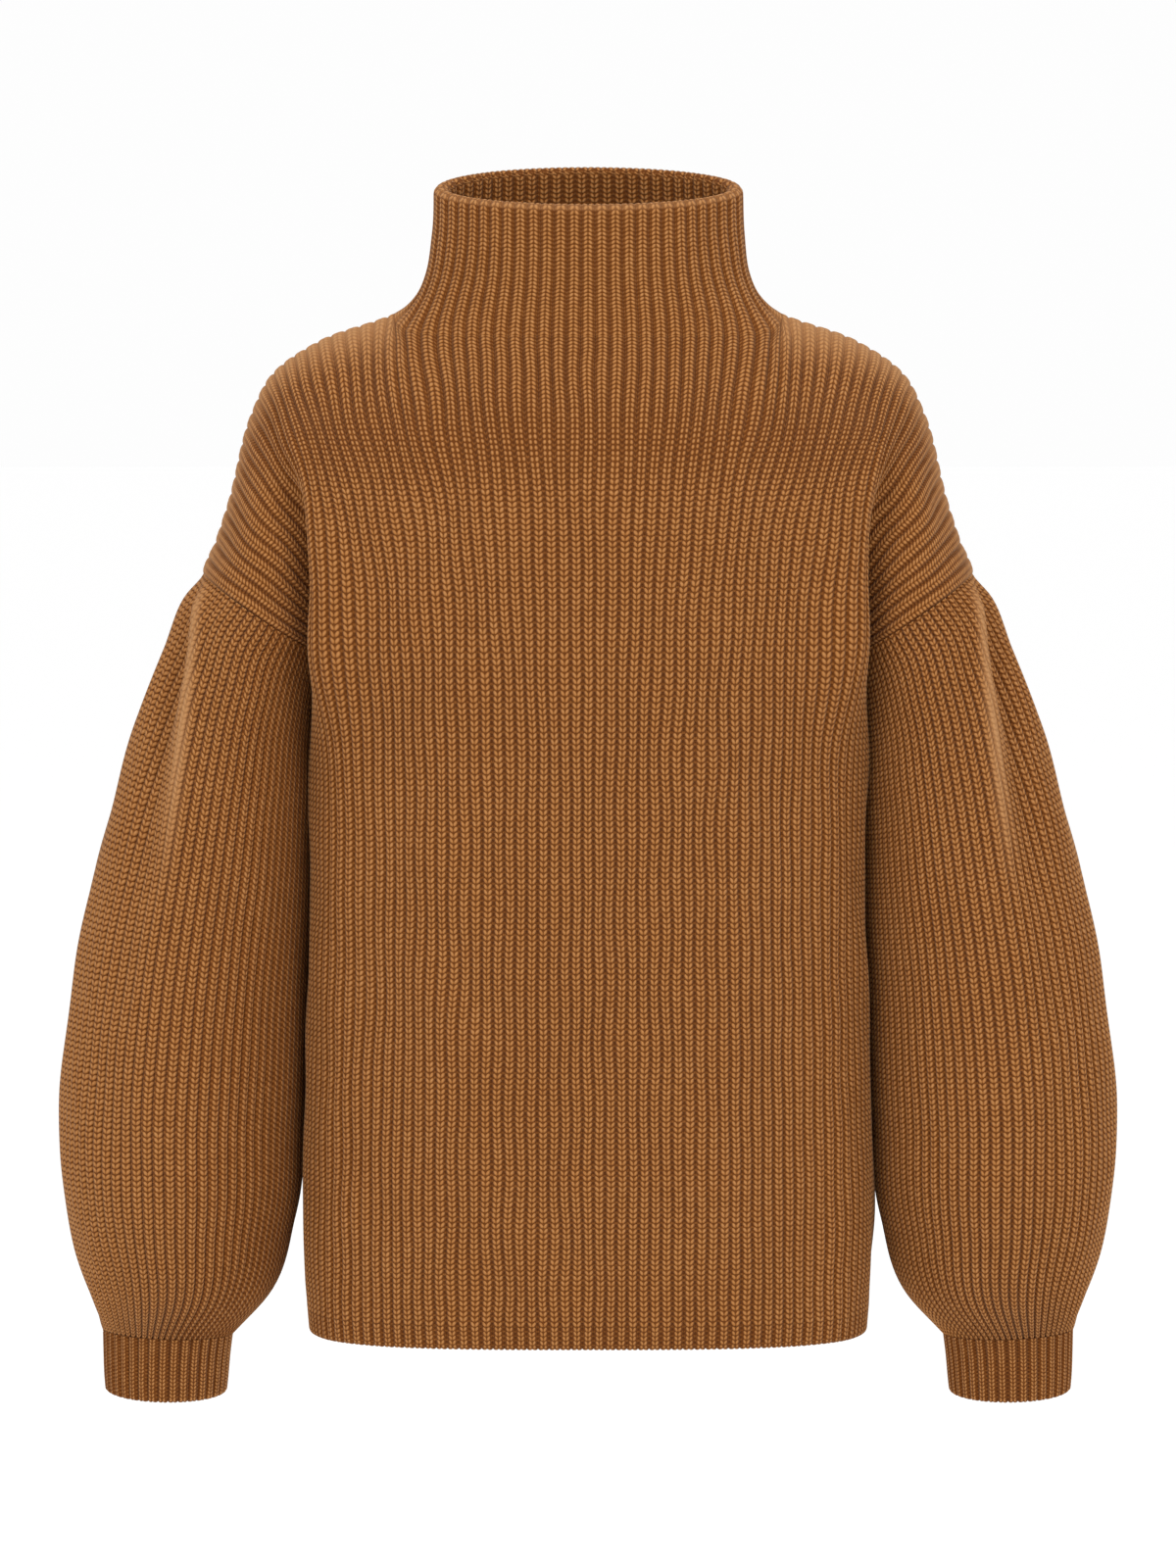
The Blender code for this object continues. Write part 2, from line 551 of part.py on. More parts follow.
def add_sleeve(side):
    """A balloon sleeve from the armhole ring to the cuff."""
    ribs = np.arange(2 * SLEEVE_RIBS) / 2
    climbs = np.array(SLEEVE_CLIMBS)
    surface = sleeve_surface(SLEEVE_ROWS, ribs, SLEEVE_RIBS, climbs)[::-1]
    normals = outward(surface, closed=True)
    relief = np.repeat(rib_relief(ribs)[None, :], len(climbs), axis=0)
    wall = np.full(len(climbs), BODY_WALL)
    columns = list(range(0, len(ribs), SLEEVE_INNER_STEP))
    return add_wall(
        "sleeve_" + side, surface, normals, relief, wall, columns, closed=True, flip=side == "right"
    )


def add_cuff(side):
    """The tight ribbed cuff, a little lower at its front."""
    ribs = np.arange(2 * CUFF_RIBS) / 2
    climbs = np.array(CUFF_CLIMBS)
    surface = sleeve_surface(CUFF_ROWS, ribs, CUFF_RIBS, climbs, CUFF_FRONT_DIP)[::-1]
    normals = outward(surface, closed=True)
    relief = np.repeat(rib_relief(ribs)[None, :], len(climbs), axis=0)
    wall = np.full(len(climbs), CUFF_WALL)
    columns = list(range(0, len(ribs), RING_INNER_STEP))
    return add_wall(
        "cuff_" + side, surface, normals, relief, wall, columns, closed=True, flip=side == "right"
    )


def add_hem_rib():
    """The band under both panels, as one ring."""
    ribs = np.arange(-2 * PANEL_HALF_RIBS, 2 * PANEL_HALF_RIBS) / 2
    front = panel_surface("front", ribs, [-2.0])[0]
    back = panel_surface("back", -ribs, [-2.0])[0]
    ring = np.concatenate([front, back])
    top = ring.copy()
    top[:, 2] = PANEL_BOTTOM_UP - SEAM_GAP
    bottom = ring * np.array(HEM_NARROWING)
    bottom[:, 2] = HEM_BOTTOM_UP
    surface = np.array([bottom, top])
    normals = outward(surface, closed=True)
    normals[..., 2] = 0
    normals /= np.linalg.norm(normals, axis=2, keepdims=True)
    relief = np.repeat(np.tile(rib_relief(ribs), 2)[None, :], 2, axis=0)
    wall = np.full(2, BODY_WALL)
    columns = list(range(0, len(ring), RING_INNER_STEP))
    return add_wall("hem_rib", surface, normals, relief, wall, columns, closed=True)


def main():
    for obj in list(bpy.data.objects):
        bpy.data.objects.remove(obj, do_unlink=True)
    add_panel("front")
    add_panel("back")
    add_funnel_neck()
    for side in ("left", "right"):
        add_sleeve(side)
        add_cuff(side)
    add_hem_rib()


main()
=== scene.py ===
import bpy
import numpy as np
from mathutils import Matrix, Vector


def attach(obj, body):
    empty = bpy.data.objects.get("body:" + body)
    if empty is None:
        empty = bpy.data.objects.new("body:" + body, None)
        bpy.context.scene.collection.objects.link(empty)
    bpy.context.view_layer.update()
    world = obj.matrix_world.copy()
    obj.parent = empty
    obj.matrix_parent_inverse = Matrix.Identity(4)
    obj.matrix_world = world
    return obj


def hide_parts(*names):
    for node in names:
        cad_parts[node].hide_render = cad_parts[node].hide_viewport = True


# Funnel neck sweater in a chunky rib knit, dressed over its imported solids.
# Lengths are in millimetres until a point goes into a mesh. +X is the wearer's left, the front faces -Y.

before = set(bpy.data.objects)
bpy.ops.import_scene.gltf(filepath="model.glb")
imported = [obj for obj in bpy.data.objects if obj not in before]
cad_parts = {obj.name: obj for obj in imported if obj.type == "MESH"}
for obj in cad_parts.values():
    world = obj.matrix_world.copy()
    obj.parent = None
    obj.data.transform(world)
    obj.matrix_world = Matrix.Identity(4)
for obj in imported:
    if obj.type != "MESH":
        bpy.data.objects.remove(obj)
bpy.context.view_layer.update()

studio = {
    "cameraAt": (0.0, -4.489, 0.026),
    "lookAt": (0.0, 0.0, -0.288),
    "lensMm": 168.75,
    "sensorMm": 36.0,
    "backdropShown": 0.985,
    "backdropLight": 0.74,
    "floorHeight": -0.95,
    "floorSize": 40,
    "floorColour": (0.6, 0.6, 0.6),
    "floorGlow": 0.54,
    "lights": (  # name, place, size, watts
        ("frontLeft", (-2.2, -3.4, 2.4), 2.2, 51.0),
        ("frontRight", (2.2, -3.4, 2.4), 2.2, 51.0),
        ("above", (0.0, -0.6, 3.0), 2.0, 26.0),
    ),
}

body = {
    "halfRibs": 36.5,
    "columnsPerRib": 8,
    "wall": 4.2,
    "ribHeight": 2.0,
    "shoulderFlat": 0.6,  # how far the ribs flatten over the shoulder line
    "shoulderNapSheen": 0.75,  # how far the yarn along the shoulder line lies flatter and is painted paler, a painted sheen highlight
    "overhang": 1.5,  # how far the dropped shoulder's last rib stands over the sleeve
    "slackOut": 0.7,  # unevenness out of the cloth and along its rows
    "slackAside": 0.55,
    "cornerPasses": 220,  # evening out of the ribs beside the corner of neck and shoulder
    "cornerRibs": 2.3,
    "cornerEnd": (0.93, 0.99),  # share of the climb over which it fades out
    # the flatter yarn and painted sheen highlight of the shoulder line start at this share of the climb
    "napSheenStart": (0.84, 1.0),
    "napSheenRibs": (12, 15),  # the flatter yarn and painted sheen highlight of the shoulder line start from these ribs on
    "seamGap": 0.1,
    "flat": (0.53, 0.64),  # metres
    "insideEvery": 4,  # the plain inside keeps one row of points in this many
    "rimRows": 0,
    "armpitUp": -207.0,
    "bottomUp": -607.0,
    "armpit": (157.0, -211.0),
    "shoulder": (233.8, -159.0),
    "armholeHalfDepth": 70.0,
    "underarmPointedness": 1.3,
    "armpitReach": 0.2,  # share of the climb
    "rowHeights": (  # share of the climb, mm
        (-2.0, 3.1), (-1.25, 3.28), (-0.6, 3.42), (-0.3, 3.55), (0.0, 3.66), (0.28, 3.42), (0.52, 3.2),
        (0.74, 3.35), (0.93, 3.2), (1.0, 2.6),
    ),
    "pinchFrom": 0.6,  # the sides are pinched where the section is less deep than this share
    # sections of the torso: up, half width, forward depth, backward depth, squareness, side pinch
    "torso": (
        (-607.0, 171.5, 111.0, 107.0, 3.2, 0.0),
        (-560.0, 174.5, 112.0, 108.0, 3.0, 0.5),
        (-450.0, 174.0, 112.0, 108.0, 2.9, 4.3),
        (-330.0, 171.0, 112.0, 107.0, 2.9, 5.5),
        (-258.0, 172.6, 112.0, 106.0, 2.9, 8.0),
    ),
    "guideShares": {
        "middle": 0.0, "neckHalf": 0.195, "neckQuarter": 0.295, "neckSide": 0.396,
        "collarSide": 0.424, "shoulder": 0.548, "chestEdge": 0.69, "armFold": 0.81,
        "armFront": 0.92, "side": 1.0,
    },
    "guideRibs": (0, 7, 10.5, 14, 15, 19.5, 24, 36.5),
    # lines that climb each panel from the armpit to its top: share of the climb, out, forward, up
    "front": {
        "middle": (
            (0.00, 0, 112, -205), (0.25, 0, 109, -160), (0.50, 0, 101, -113),
            (0.75, 0, 86, -64), (1.00, 0, 64, -12.5), (1.25, 0, 60, 10),
        ),
        "neckHalf": (
            (0.00, 48.4, 111, -205), (0.25, 50.2, 108, -160), (0.50, 52.7, 99, -113),
            (0.75, 58, 82, -64), (1.00, 62, 54.5, -12.5), (1.25, 61, 49, 10),
        ),
        "neckQuarter": (
            (0.00, 72.3, 110, -205), (0.25, 74.1, 106, -159), (0.50, 78.4, 96, -112),
            (0.75, 85.7, 75, -62), (1.00, 92.4, 39.8, -12.2), (1.25, 90, 34, 10),
        ),
        "neckSide": (
            (0.00, 95.6, 108, -205), (0.25, 97.8, 103, -158), (0.50, 103.2, 91, -110),
            (0.75, 115, 61.8, -61.2), (1.00, 118, 0, -1.2), (1.25, 112, -42, -20),
        ),
        "collarSide": (
            (0.00, 102.2, 107, -205), (0.25, 104.5, 101.8, -157.8), (0.50, 110.2, 90.3, -109.8),
            (0.75, 122.4, 61.8, -61.8), (1.00, 126.3, 0, -4.2), (1.25, 119.5, -43, -24),
        ),
        "shoulder": (
            (0.00, 131, 100, -205), (0.25, 134, 96, -157), (0.50, 141, 86, -109),
            (0.75, 154.3, 58.7, -62.9), (1.00, 165, 0, -18.2), (1.25, 153, -50, -44),
        ),
        "chestEdge": (
            (0.00, 164.6, 84, -205), (0.25, 165, 83, -156), (0.50, 170, 77, -108),
            (0.75, 181, 54, -70), (1.00, 194.6, 0, -40.4), (1.25, 181, -54, -68),
        ),
        "armFold": (
            (0.00, 167.4, 52, -207), (0.25, 164, 50, -170), (0.50, 169, 57, -120),
            (0.75, 189, 50, -88), (1.00, 204.6, 0, -60.4), (1.25, 188, -50, -86),
        ),
        "armFront": (
            (0.00, 158, 25, -209), (0.25, 164, 45, -190), (0.50, 185, 65, -152),
            (0.75, 206, 53, -123), (1.00, 219, 0, -114.3), (1.25, 206, -53, -123),
        ),
    },
    "back": {
        "middle": (
            (0.00, 0, 106, -205), (0.25, 0, 105, -155), (0.50, 0, 99, -104),
            (0.75, 0, 86, -52), (1.00, 0, 66, 3), (1.25, 0, 62, 28),
        ),
        "neckHalf": (
            (0.00, 48.4, 105, -205), (0.25, 50.2, 104, -155), (0.50, 52.7, 97, -104),
            (0.75, 58, 82, -53), (1.00, 62, 56.2, 2), (1.25, 61, 51, 25),
        ),
        "neckQuarter": (
            (0.00, 72.3, 104.5, -205), (0.25, 74.1, 102, -155), (0.50, 78.4, 94, -105),
            (0.75, 85.7, 75, -54), (1.00, 92.4, 41, 1.6), (1.25, 90, 36, 22),
        ),
        "neckSide": (
            (0.00, 95.6, 103, -205), (0.25, 97.8, 100, -156), (0.50, 103.2, 90, -106),
            (0.75, 114.8, 61.8, -55.1), (1.00, 118, 0, -1.2), (1.25, 112, -42, -20),
        ),
        "collarSide": (
            (0.00, 102.2, 102, -205), (0.25, 104.5, 98.8, -156), (0.50, 110.2, 89.3, -106.2),
            (0.75, 122.2, 61.8, -56.4), (1.00, 126.3, 0, -4.2), (1.25, 119.5, -43, -24),
        ),
        "shoulder": (
            (0.00, 131, 95, -205), (0.25, 134, 93, -156), (0.50, 141, 85, -107),
            (0.75, 154, 58.7, -60.9), (1.00, 165, 0, -18.2), (1.25, 153, -50, -44),
        ),
        "chestEdge": (
            (0.00, 163.5, 80, -205), (0.25, 165, 79, -156), (0.50, 170, 76, -108),
            (0.75, 181, 54, -70), (1.00, 194.6, 0, -40.4), (1.25, 181, -54, -68),
        ),
        "armFold": (
            (0.00, 166, 50, -207), (0.25, 164, 49, -170), (0.50, 169, 56, -120),
            (0.75, 189, 50, -88), (1.00, 204.6, 0, -60.4), (1.25, 188, -50, -86),
        ),
        "armFront": (
            (0.00, 158, 25, -209), (0.25, 164, 45, -190), (0.50, 185, 65, -152),
            (0.75, 206, 53, -123), (1.00, 219, 0, -114.3), (1.25, 206, -53, -123),
        ),
    },
}

funnel = {
    "halfRibs": 14,  # from the middle front to the side
    "columnsPerRib": 12,
    "walls": ((0.0, 4.2), (0.14, 5.0), (0.4, 7.2), (0.9, 9.8)),  # share of the climb, thickness
    "ribHeight": 1.35,
    "rowHeights": ((0.0, 2.5), (0.3, 2.45), (0.6, 2.75), (1.0, 2.85)),
    "fitStart": 0.55,
    "easing": 12,  # passes that let the ribs flow on from the panels
    "easingFadeRibs": 5,  # it fades out over this many ribs towards the shoulder
    "slackOut": 0.35,
    # the shoulder line's flatter yarn and painted sheen fade out up the funnel's base, and the top rows of
    # the rim are painted paler as a painted highlight, with flatter relief
    "baseNapSheenEnd": 0.2,
    "rimNapHighlight": 0.3,
    "rimHighlightRows": 4,
    "flat": (0.50, 0.095),
    "insideEvery": 2,
    "rimRows": 7,
    # sections: share of the climb, half width, half depth at the front and back, heights of the front,
    # side and back, how square the slopes from side to front and back are, and how far round the
    # quarter oval the half and three-quarter ribs lie
    "sections": (
        (0.00, 118.0, 64.0, 66.0, -12.5, -1.2, 3.0, 4.0, 1.2, 0.431, 0.663),
        (0.10, 111.1, 62.0, 63.5, -4.0, 3.2, 12.0, 3.2, 1.2, 0.447, 0.691),
        (0.23, 103.9, 60.0, 61.0, 6.5, 11.0, 23.5, 2.4, 1.1, 0.463, 0.712),
        (0.41, 98.0, 58.5, 59.0, 20.0, 24.5, 39.0, 1.7, 1.0, 0.471, 0.715),
        (0.67, 94.8, 57.7, 58.0, 40.0, 48.0, 60.5, 1.2, 1.0, 0.474, 0.705),
        (1.00, 93.6, 57.5, 57.5, 64.3, 76.8, 88.6, 1.0, 1.0, 0.477, 0.704),
    ),
}

sleeve = {
    "ribs": 72,
    "columnsPerRib": 8,
    "wall": 4.2,
    "ribHeight": 2.2,
    "rowHeights": ((0.0, 3.5), (0.6, 3.4), (1.0, 3.15)),
    "headBlend": 0.03,  # share of the way over which the head comes onto the armhole
    "outerSpread": 0.02,  # how much wider the ribs are on the outer side of the arm
    "slackOut": 0.7,
    # the tuck's ridge is painted paler as a painted highlight, with flatter relief, fading out down the
    # sleeve
    "napHighlightEnd": (0.18, 0.46),
    "tuckRidgeHighlight": 0.8,
    "fullHighlightTuck": 5,  # the depth of tuck from which its ridge carries the full painted highlight
    "tuckRidgeShare": 0.45,
    "tuckRidgeDegrees": 8.0,
    "tuckValleyDegrees": 12.0,
    "tuckValleyOffset": 17.0,
    "flat": (0.50, 0.47),
    "insideEvery": 3,
    "rimRows": 0,
    # sections: share of the way, outer point out and up, inner point out and up, half depth, forward
    # shift, tuck depth and the tuck's angle from the inner point
    "sections": (
        (0.00, 234.6, -160.5, 159.2, -213.2, 69.5, 0.0, 0.0, 152.0),
        (0.03, 244.2, -170.5, 162.5, -224.0, 71.0, 0.0, 5.0, 141.5),
        (0.10, 258.2, -203.5, 167.2, -254.0, 73.5, 0.0, 7.5, 126.0),
        (0.22, 276.0, -251.0, 167.8, -296.0, 76.5, 0.0, 8.0, 116.0),
        (0.38, 296.4, -322.0, 168.7, -350.0, 79.5, 1.0, 5.0, 109.5),
        (0.56, 313.8, -402.0, 171.8, -415.0, 81.0, 2.0, 2.0, 109.0),
        (0.74, 322.8, -487.0, 174.6, -490.0, 81.0, 4.0, 0.5, 110.0),
        (0.88, 317.5, -557.0, 180.3, -553.0, 77.0, 5.0, 0.0, 110.0),
        (0.96, 304.5, -602.0, 196.5, -601.0, 61.0, 6.0, 0.0, 110.0),
        (1.00, 297.6, -622.0, 218.5, -625.0, 39.5, 6.0, 0.0, 110.0),
    ),
}

cuff = {
    "ribs": 36,
    "columnsPerRib": 12,
    "wall": 4.0,
    "ribHeight": 1.9,
    "rowHeights": ((0.0, 2.1), (1.0, 2.1)),
    "forward": 6.0,
    "frontDip": 3.0,
    "frontDipFrom": 0.3,
    "flat": (0.23, 0.04),
    "insideEvery": 3,
    "rimRows": 5,
    "sections": (  # share of the way, outer point out and up, inner point out and up, half depth
        (0.00, 297.4, -622.6, 218.9, -625.6, 38.6),
        (0.30, 297.2, -634.0, 220.3, -636.5, 37.2),
        (0.80, 296.6, -652.5, 222.0, -654.5, 36.6),
        (1.00, 296.0, -660.0, 222.8, -661.5, 36.2),
    ),
}

hem = {
    "columnsPerRib": 8,
    "bottomUp": -622.0,
    "wall": 4.2,
    "ribHeight": 1.9,
    "rowHeights": ((0.0, 2.8), (1.0, 2.8)),
    "narrowing": (0.993, 0.99, 1.0),
    "flat": (1.04, 0.014),
    "insideEvery": 3,
    "rimRows": 5,
}

# the slack of hand-worked cloth is a sum of waves, in turns for each rib and each row
slackWaves = {"count": 14, "acrossTurns": 0.16, "upTurns": 0.055, "mostStart": 6.3}

# two plump yarns side by side on each rib, and a narrow groove between ribs
ribShape = {"square": 2.7, "soften": 0.85, "twinDip": 0.10, "twinHalfWidth": 0.06, "level": 1.15}


def smoothThrough(knots, values, at):  # a smooth curve through the values at the knots
    knots = np.asarray(knots, float)
    values = np.asarray(values, float)
    at = np.asarray(at, float)
    steps = np.diff(knots)
    slopes = np.diff(values, axis=0) / steps.reshape((-1,) + (1,) * (values.ndim - 1))
    tangents = np.empty_like(values)
    tangents[0] = slopes[0]
    tangents[-1] = slopes[-1]
    for i in range(1, len(knots) - 1):
        both = steps[i - 1] + steps[i]
        tangents[i] = (slopes[i - 1] * steps[i] + slopes[i] * steps[i - 1]) / both
    cell = np.clip(np.searchsorted(knots, at, side="right") - 1, 0, len(knots) - 2)
    step = steps[cell]
    shape = (-1,) + (1,) * (values.ndim - 1)
    u = ((at - knots[cell]) / step).reshape(shape)
    step = step.reshape(shape)
    start = values[cell] * (1 + 2 * u) * (1 - u) ** 2 + tangents[cell] * step * u * (1 - u) ** 2
    end = values[cell + 1] * u ** 2 * (3 - 2 * u) - tangents[cell + 1] * step * u ** 2 * (1 - u)
    return start + end


def lengthsAlong(points):
    steps = np.linalg.norm(np.diff(points, axis=0), axis=1)
    return np.concatenate([[0.0], np.cumsum(steps)])


def turned(point, out=1, forward=1):
    return point * np.array([out, forward, 1.0])


def unit(vectors):
    return vectors / np.linalg.norm(vectors, axis=-1, keepdims=True)


def smoothStep(value):
    value = np.clip(value, 0, 1)
    return value ** 2 * (3 - 2 * value)


def easeBetween(value, ends):  # 0 before the first end and 1 past the second
    return smoothStep((value - ends[0]) / (ends[1] - ends[0]))


def torsoQuarter(row, face):  # from the middle of the front or back round to the side
    up, halfWidth, forwardDepth, backwardDepth, squareness, pinch = row
    depth = forwardDepth if face == "front" else backwardDepth
    angles = np.linspace(0.0, np.pi / 2, 181)
    out = halfWidth * np.sin(angles) ** (2 / squareness)
    forward = depth * np.cos(angles) ** (2 / squareness)
    out = out - pinch * np.clip(1 - forward / (body["pinchFrom"] * depth), 0, 1) ** 2
    return np.stack([out, forward, np.full_like(out, up)], axis=1)


def torsoGuides(face):  # the guide lines below the armpit, where the climb is below zero
    guides = {name: [] for name in body["guideShares"]}
    for row in body["torso"]:
        quarter = torsoQuarter(row, face)
        lengths = lengthsAlong(quarter)
        climb = (row[0] - body["armpitUp"]) / (body["armpitUp"] - body["bottomUp"]) * 2
        for name, share in body["guideShares"].items():
            point = [np.interp(share * lengths[-1], lengths, quarter[:, k]) for k in range(3)]
            guides[name].append((climb, *point))
    return guides


def armholePoint(share):  # from the armpit (0) over the front to the shoulder (1)
    inner = np.array(body["armpit"])
    outer = np.array(body["shoulder"])
    angle = np.pi * np.asarray(share, float)
    across = (inner + outer) / 2 - (outer - inner) / 2 * np.cos(angle)[..., None]
    power = np.where(angle < np.pi / 2, body["underarmPointedness"], 1.0)
    forward = body["armholeHalfDepth"] * np.clip(np.sin(angle), 0, 1) ** power
    return np.stack([across[..., 0], forward, across[..., 1]], axis=-1)


def panelGuides(face, climbs):  # points [climb, line], with the side or armhole edge last
    lower = torsoGuides(face)
    lines = []
    for name, upper in body[face].items():
        rows = np.array(lower[name] + list(upper), float)
        lines.append(smoothThrough(rows[:, 0], rows[:, 1:], climbs))
    side = np.array(lower["side"] + [(0.0, body["armpit"][0], 0.0, body["armpit"][1])], float)
    below = smoothThrough(side[:, 0], side[:, 1:], np.minimum(climbs, 0))
    above = armholePoint(np.clip(climbs, 0, 1))
    lines.append(np.where((climbs < 0)[:, None], below, above))
    return np.stack(lines, axis=1)


def panelRows(face, ribs, climbs):  # points [climb, rib] on the middle of the panel's rib relief
    ribs = np.asarray(ribs, float)
    climbs = np.asarray(climbs, float)
    lines = panelGuides(face, climbs)
    surface = np.empty((len(climbs), len(ribs), 3))
    for i, climb in enumerate(climbs):
        neckHalf, neckQuarter = lines[i][1:3]
        armFront, edge = lines[i][-2:]
        # the row runs on past its edge, round to the other face at the armpit and straight on above it
        blend = np.clip(climb / body["armpitReach"], 0, 1)
        straightOn = edge + 0.8 * (edge - armFront)
        beyond = turned(armFront, forward=-1) * (1 - blend) + straightOn * blend
        points = np.array([
            turned(neckQuarter, out=-1), turned(neckHalf, out=-1), *lines[i], beyond,
        ])
        chords = lengthsAlong(points)
        fine = np.linspace(chords[2], chords[-2], 241)
        row = smoothThrough(chords, points, fine)
        row[:, 1] = np.maximum(row[:, 1], 0)
        lengths = lengthsAlong(row)
        marked = list(range(2, 1 + len(body["guideRibs"]))) + [-2]
        marks = [np.interp(chords[k], fine, lengths) for k in marked]
        along = smoothThrough(body["guideRibs"], marks, np.abs(ribs))
        for k in range(3):
            surface[i, :, k] = np.interp(along, lengths, row[:, k])
        surface[i, :, 0] *= np.where(ribs < 0, -1, 1)
    surface[..., 1] *= -1 if face == "front" else 1
    return surface


def ribsRoundNeck(face, ribs):  # a panel's ribs as numbers counted round the funnel
    return ribs if face == "front" else 2 * funnel["halfRibs"] - ribs


def panelSurface(face, ribs, climbs):  # the panel with its top along the base of the funnel
    ribs = np.asarray(ribs, float)
    climbs = np.asarray(climbs, float)
    surface = panelRows(face, ribs, climbs)
    miss = funnelSurface(ribsRoundNeck(face, ribs), [0.0])[0] - panelRows(face, ribs, [1.0])[0]
    miss[np.abs(ribs) >= funnel["halfRibs"]] = 0
    near = easeBetween(climbs, (funnel["fitStart"], 1))
    return surface + near[:, None, None] * miss


def funnelSurface(ribs, climbs):  # rib 0 is the middle front, and they run towards +X
    ribs = np.asarray(ribs, float)
    sections = np.array(funnel["sections"])
    values = smoothThrough(sections[:, 0], sections[:, 1:], climbs)
    quarter = ribs / funnel["halfRibs"] % 4
    surface = np.empty((len(values), len(ribs), 3))
    for i, row in enumerate(values):
        halfWidth, frontDepth, backDepth, frontUp, sideUp, backUp = row[:6]
        frontSquare, backSquare, halfShare, lateShare = row[6:]
        for q in range(4):
            here = (quarter >= q) & (quarter < q + 1)
            isFront = q in (0, 3)
            fromMiddle = quarter[here] - q if q % 2 == 0 else q + 1 - quarter[here]
            depth = frontDepth if isFront else backDepth
            middleUp = frontUp if isFront else backUp
            squareness = frontSquare if isFront else backSquare
            angles = np.linspace(0, np.pi / 2, 91)
            oval = np.stack([halfWidth * np.sin(angles), depth * np.cos(angles)], axis=1)
            lengths = lengthsAlong(oval)
            share = smoothThrough((0, 0.5, 0.75, 1), (0, halfShare, lateShare, 1), fromMiddle)
            out = np.interp(share * lengths[-1], lengths, oval[:, 0])
            forward = np.interp(share * lengths[-1], lengths, oval[:, 1])
            slope = 1 - (1 - np.clip(forward / depth, 0, 1)) ** squareness
            surface[i, here, 0] = out * (1 if q < 2 else -1)
            surface[i, here, 1] = forward * (-1 if isFront else 1)
            surface[i, here, 2] = sideUp + (middleUp - sideUp) * slope
    return surface


def funnelNormals(ribs, climbs):
    step = 0.02
    along = funnelSurface(ribs + step, climbs) - funnelSurface(ribs - step, climbs)
    up = funnelSurface(ribs, np.minimum(climbs + step, 1)) - funnelSurface(ribs, np.maximum(climbs - step, 0))
    normals = np.cross(along, up)
    atSide = np.asarray(ribs) % (2 * funnel["halfRibs"]) == funnel["halfRibs"]
    normals[:, atSide, 1] = 0
    return unit(normals)


def easeNeck(face, ribs):  # moves the points round the base of the funnel so that the ribs flow on
    low, high = np.linspace(0.7, 1, 16), np.linspace(0, 0.35, 13)
    above = funnelSurface(ribsRoundNeck(face, ribs), high[1:])
    line = np.concatenate([panelSurface(face, ribs, low), above])
    eased = line.copy()
    for _ in range(funnel["easing"]):
        eased[1:-1] += 0.25 * (eased[2:] + eased[:-2] - 2 * eased[1:-1])
    toSide = funnel["halfRibs"] - np.abs(ribs)
    moves = (eased - line) * smoothStep(toSide / funnel["easingFadeRibs"])[None, :, None]
    return low, moves[:len(low)], high, moves[len(low) - 1:]


def readMoves(places, moves, climbs):  # the moves at other climbs, none beyond their places
    flat = moves.reshape(len(places), -1)
    read = [np.interp(climbs, places, column, 0.0, 0.0) for column in flat.T]
    return np.array(read).T.reshape((len(climbs),) + moves.shape[1:])


def armholeRing(shares):  # even steps round the armhole, from the armpit over the front
    turns = np.linspace(0, 2, 721)
    ring = armholePoint(np.where(turns > 1, 2 - turns, turns))
    ring[:, 1] *= np.where(turns > 1, 1, -1)
    lengths = lengthsAlong(ring)
    at = np.asarray(shares) * lengths[-1]
    return np.stack([np.interp(at, lengths, ring[:, k]) for k in range(3)], axis=1)


def sleeveRing(row, shares):  # even steps round one section, from its inner point over the front
    outer, inner = row[[0, 1]], row[[2, 3]]
    halfDepth, shift = row[4], row[5]
    angles = np.linspace(0, 2 * np.pi, 721)
    push = np.zeros_like(angles)
    napHighlightAt = np.zeros_like(angles)
    if len(row) > 6:
        tuck, ridge = row[6], np.radians(row[7])
        for side in (1, -1):
            turn = angles if side == 1 else 2 * np.pi - angles
            crest = np.exp(-(((turn - ridge) / np.radians(sleeve["tuckRidgeDegrees"])) ** 2))
            floor = ridge + np.radians(sleeve["tuckValleyOffset"])
            dip = np.exp(-(((turn - floor) / np.radians(sleeve["tuckValleyDegrees"])) ** 2))
            push += tuck * (sleeve["tuckRidgeShare"] * crest - dip)
            # the ridge's crest is marked for the painted highlight
            napHighlightAt += sleeve["tuckRidgeHighlight"] * crest ** 3 * np.clip(tuck / sleeve["fullHighlightTuck"], 0, 1)
    reach = (outer - inner) / 2
    half = np.linalg.norm(reach)
    across = (outer + inner) / 2 - np.outer((1 + push / half) * np.cos(angles), reach)
    forward = (halfDepth + push) * np.sin(angles) + shift
    ring = np.stack([across[:, 0], forward, across[:, 1], napHighlightAt], axis=1)
    lengths = lengthsAlong(ring[:, :3])
    at = np.asarray(shares) * lengths[-1]
    return np.stack([np.interp(at, lengths, ring[:, k]) for k in range(4)], axis=1)


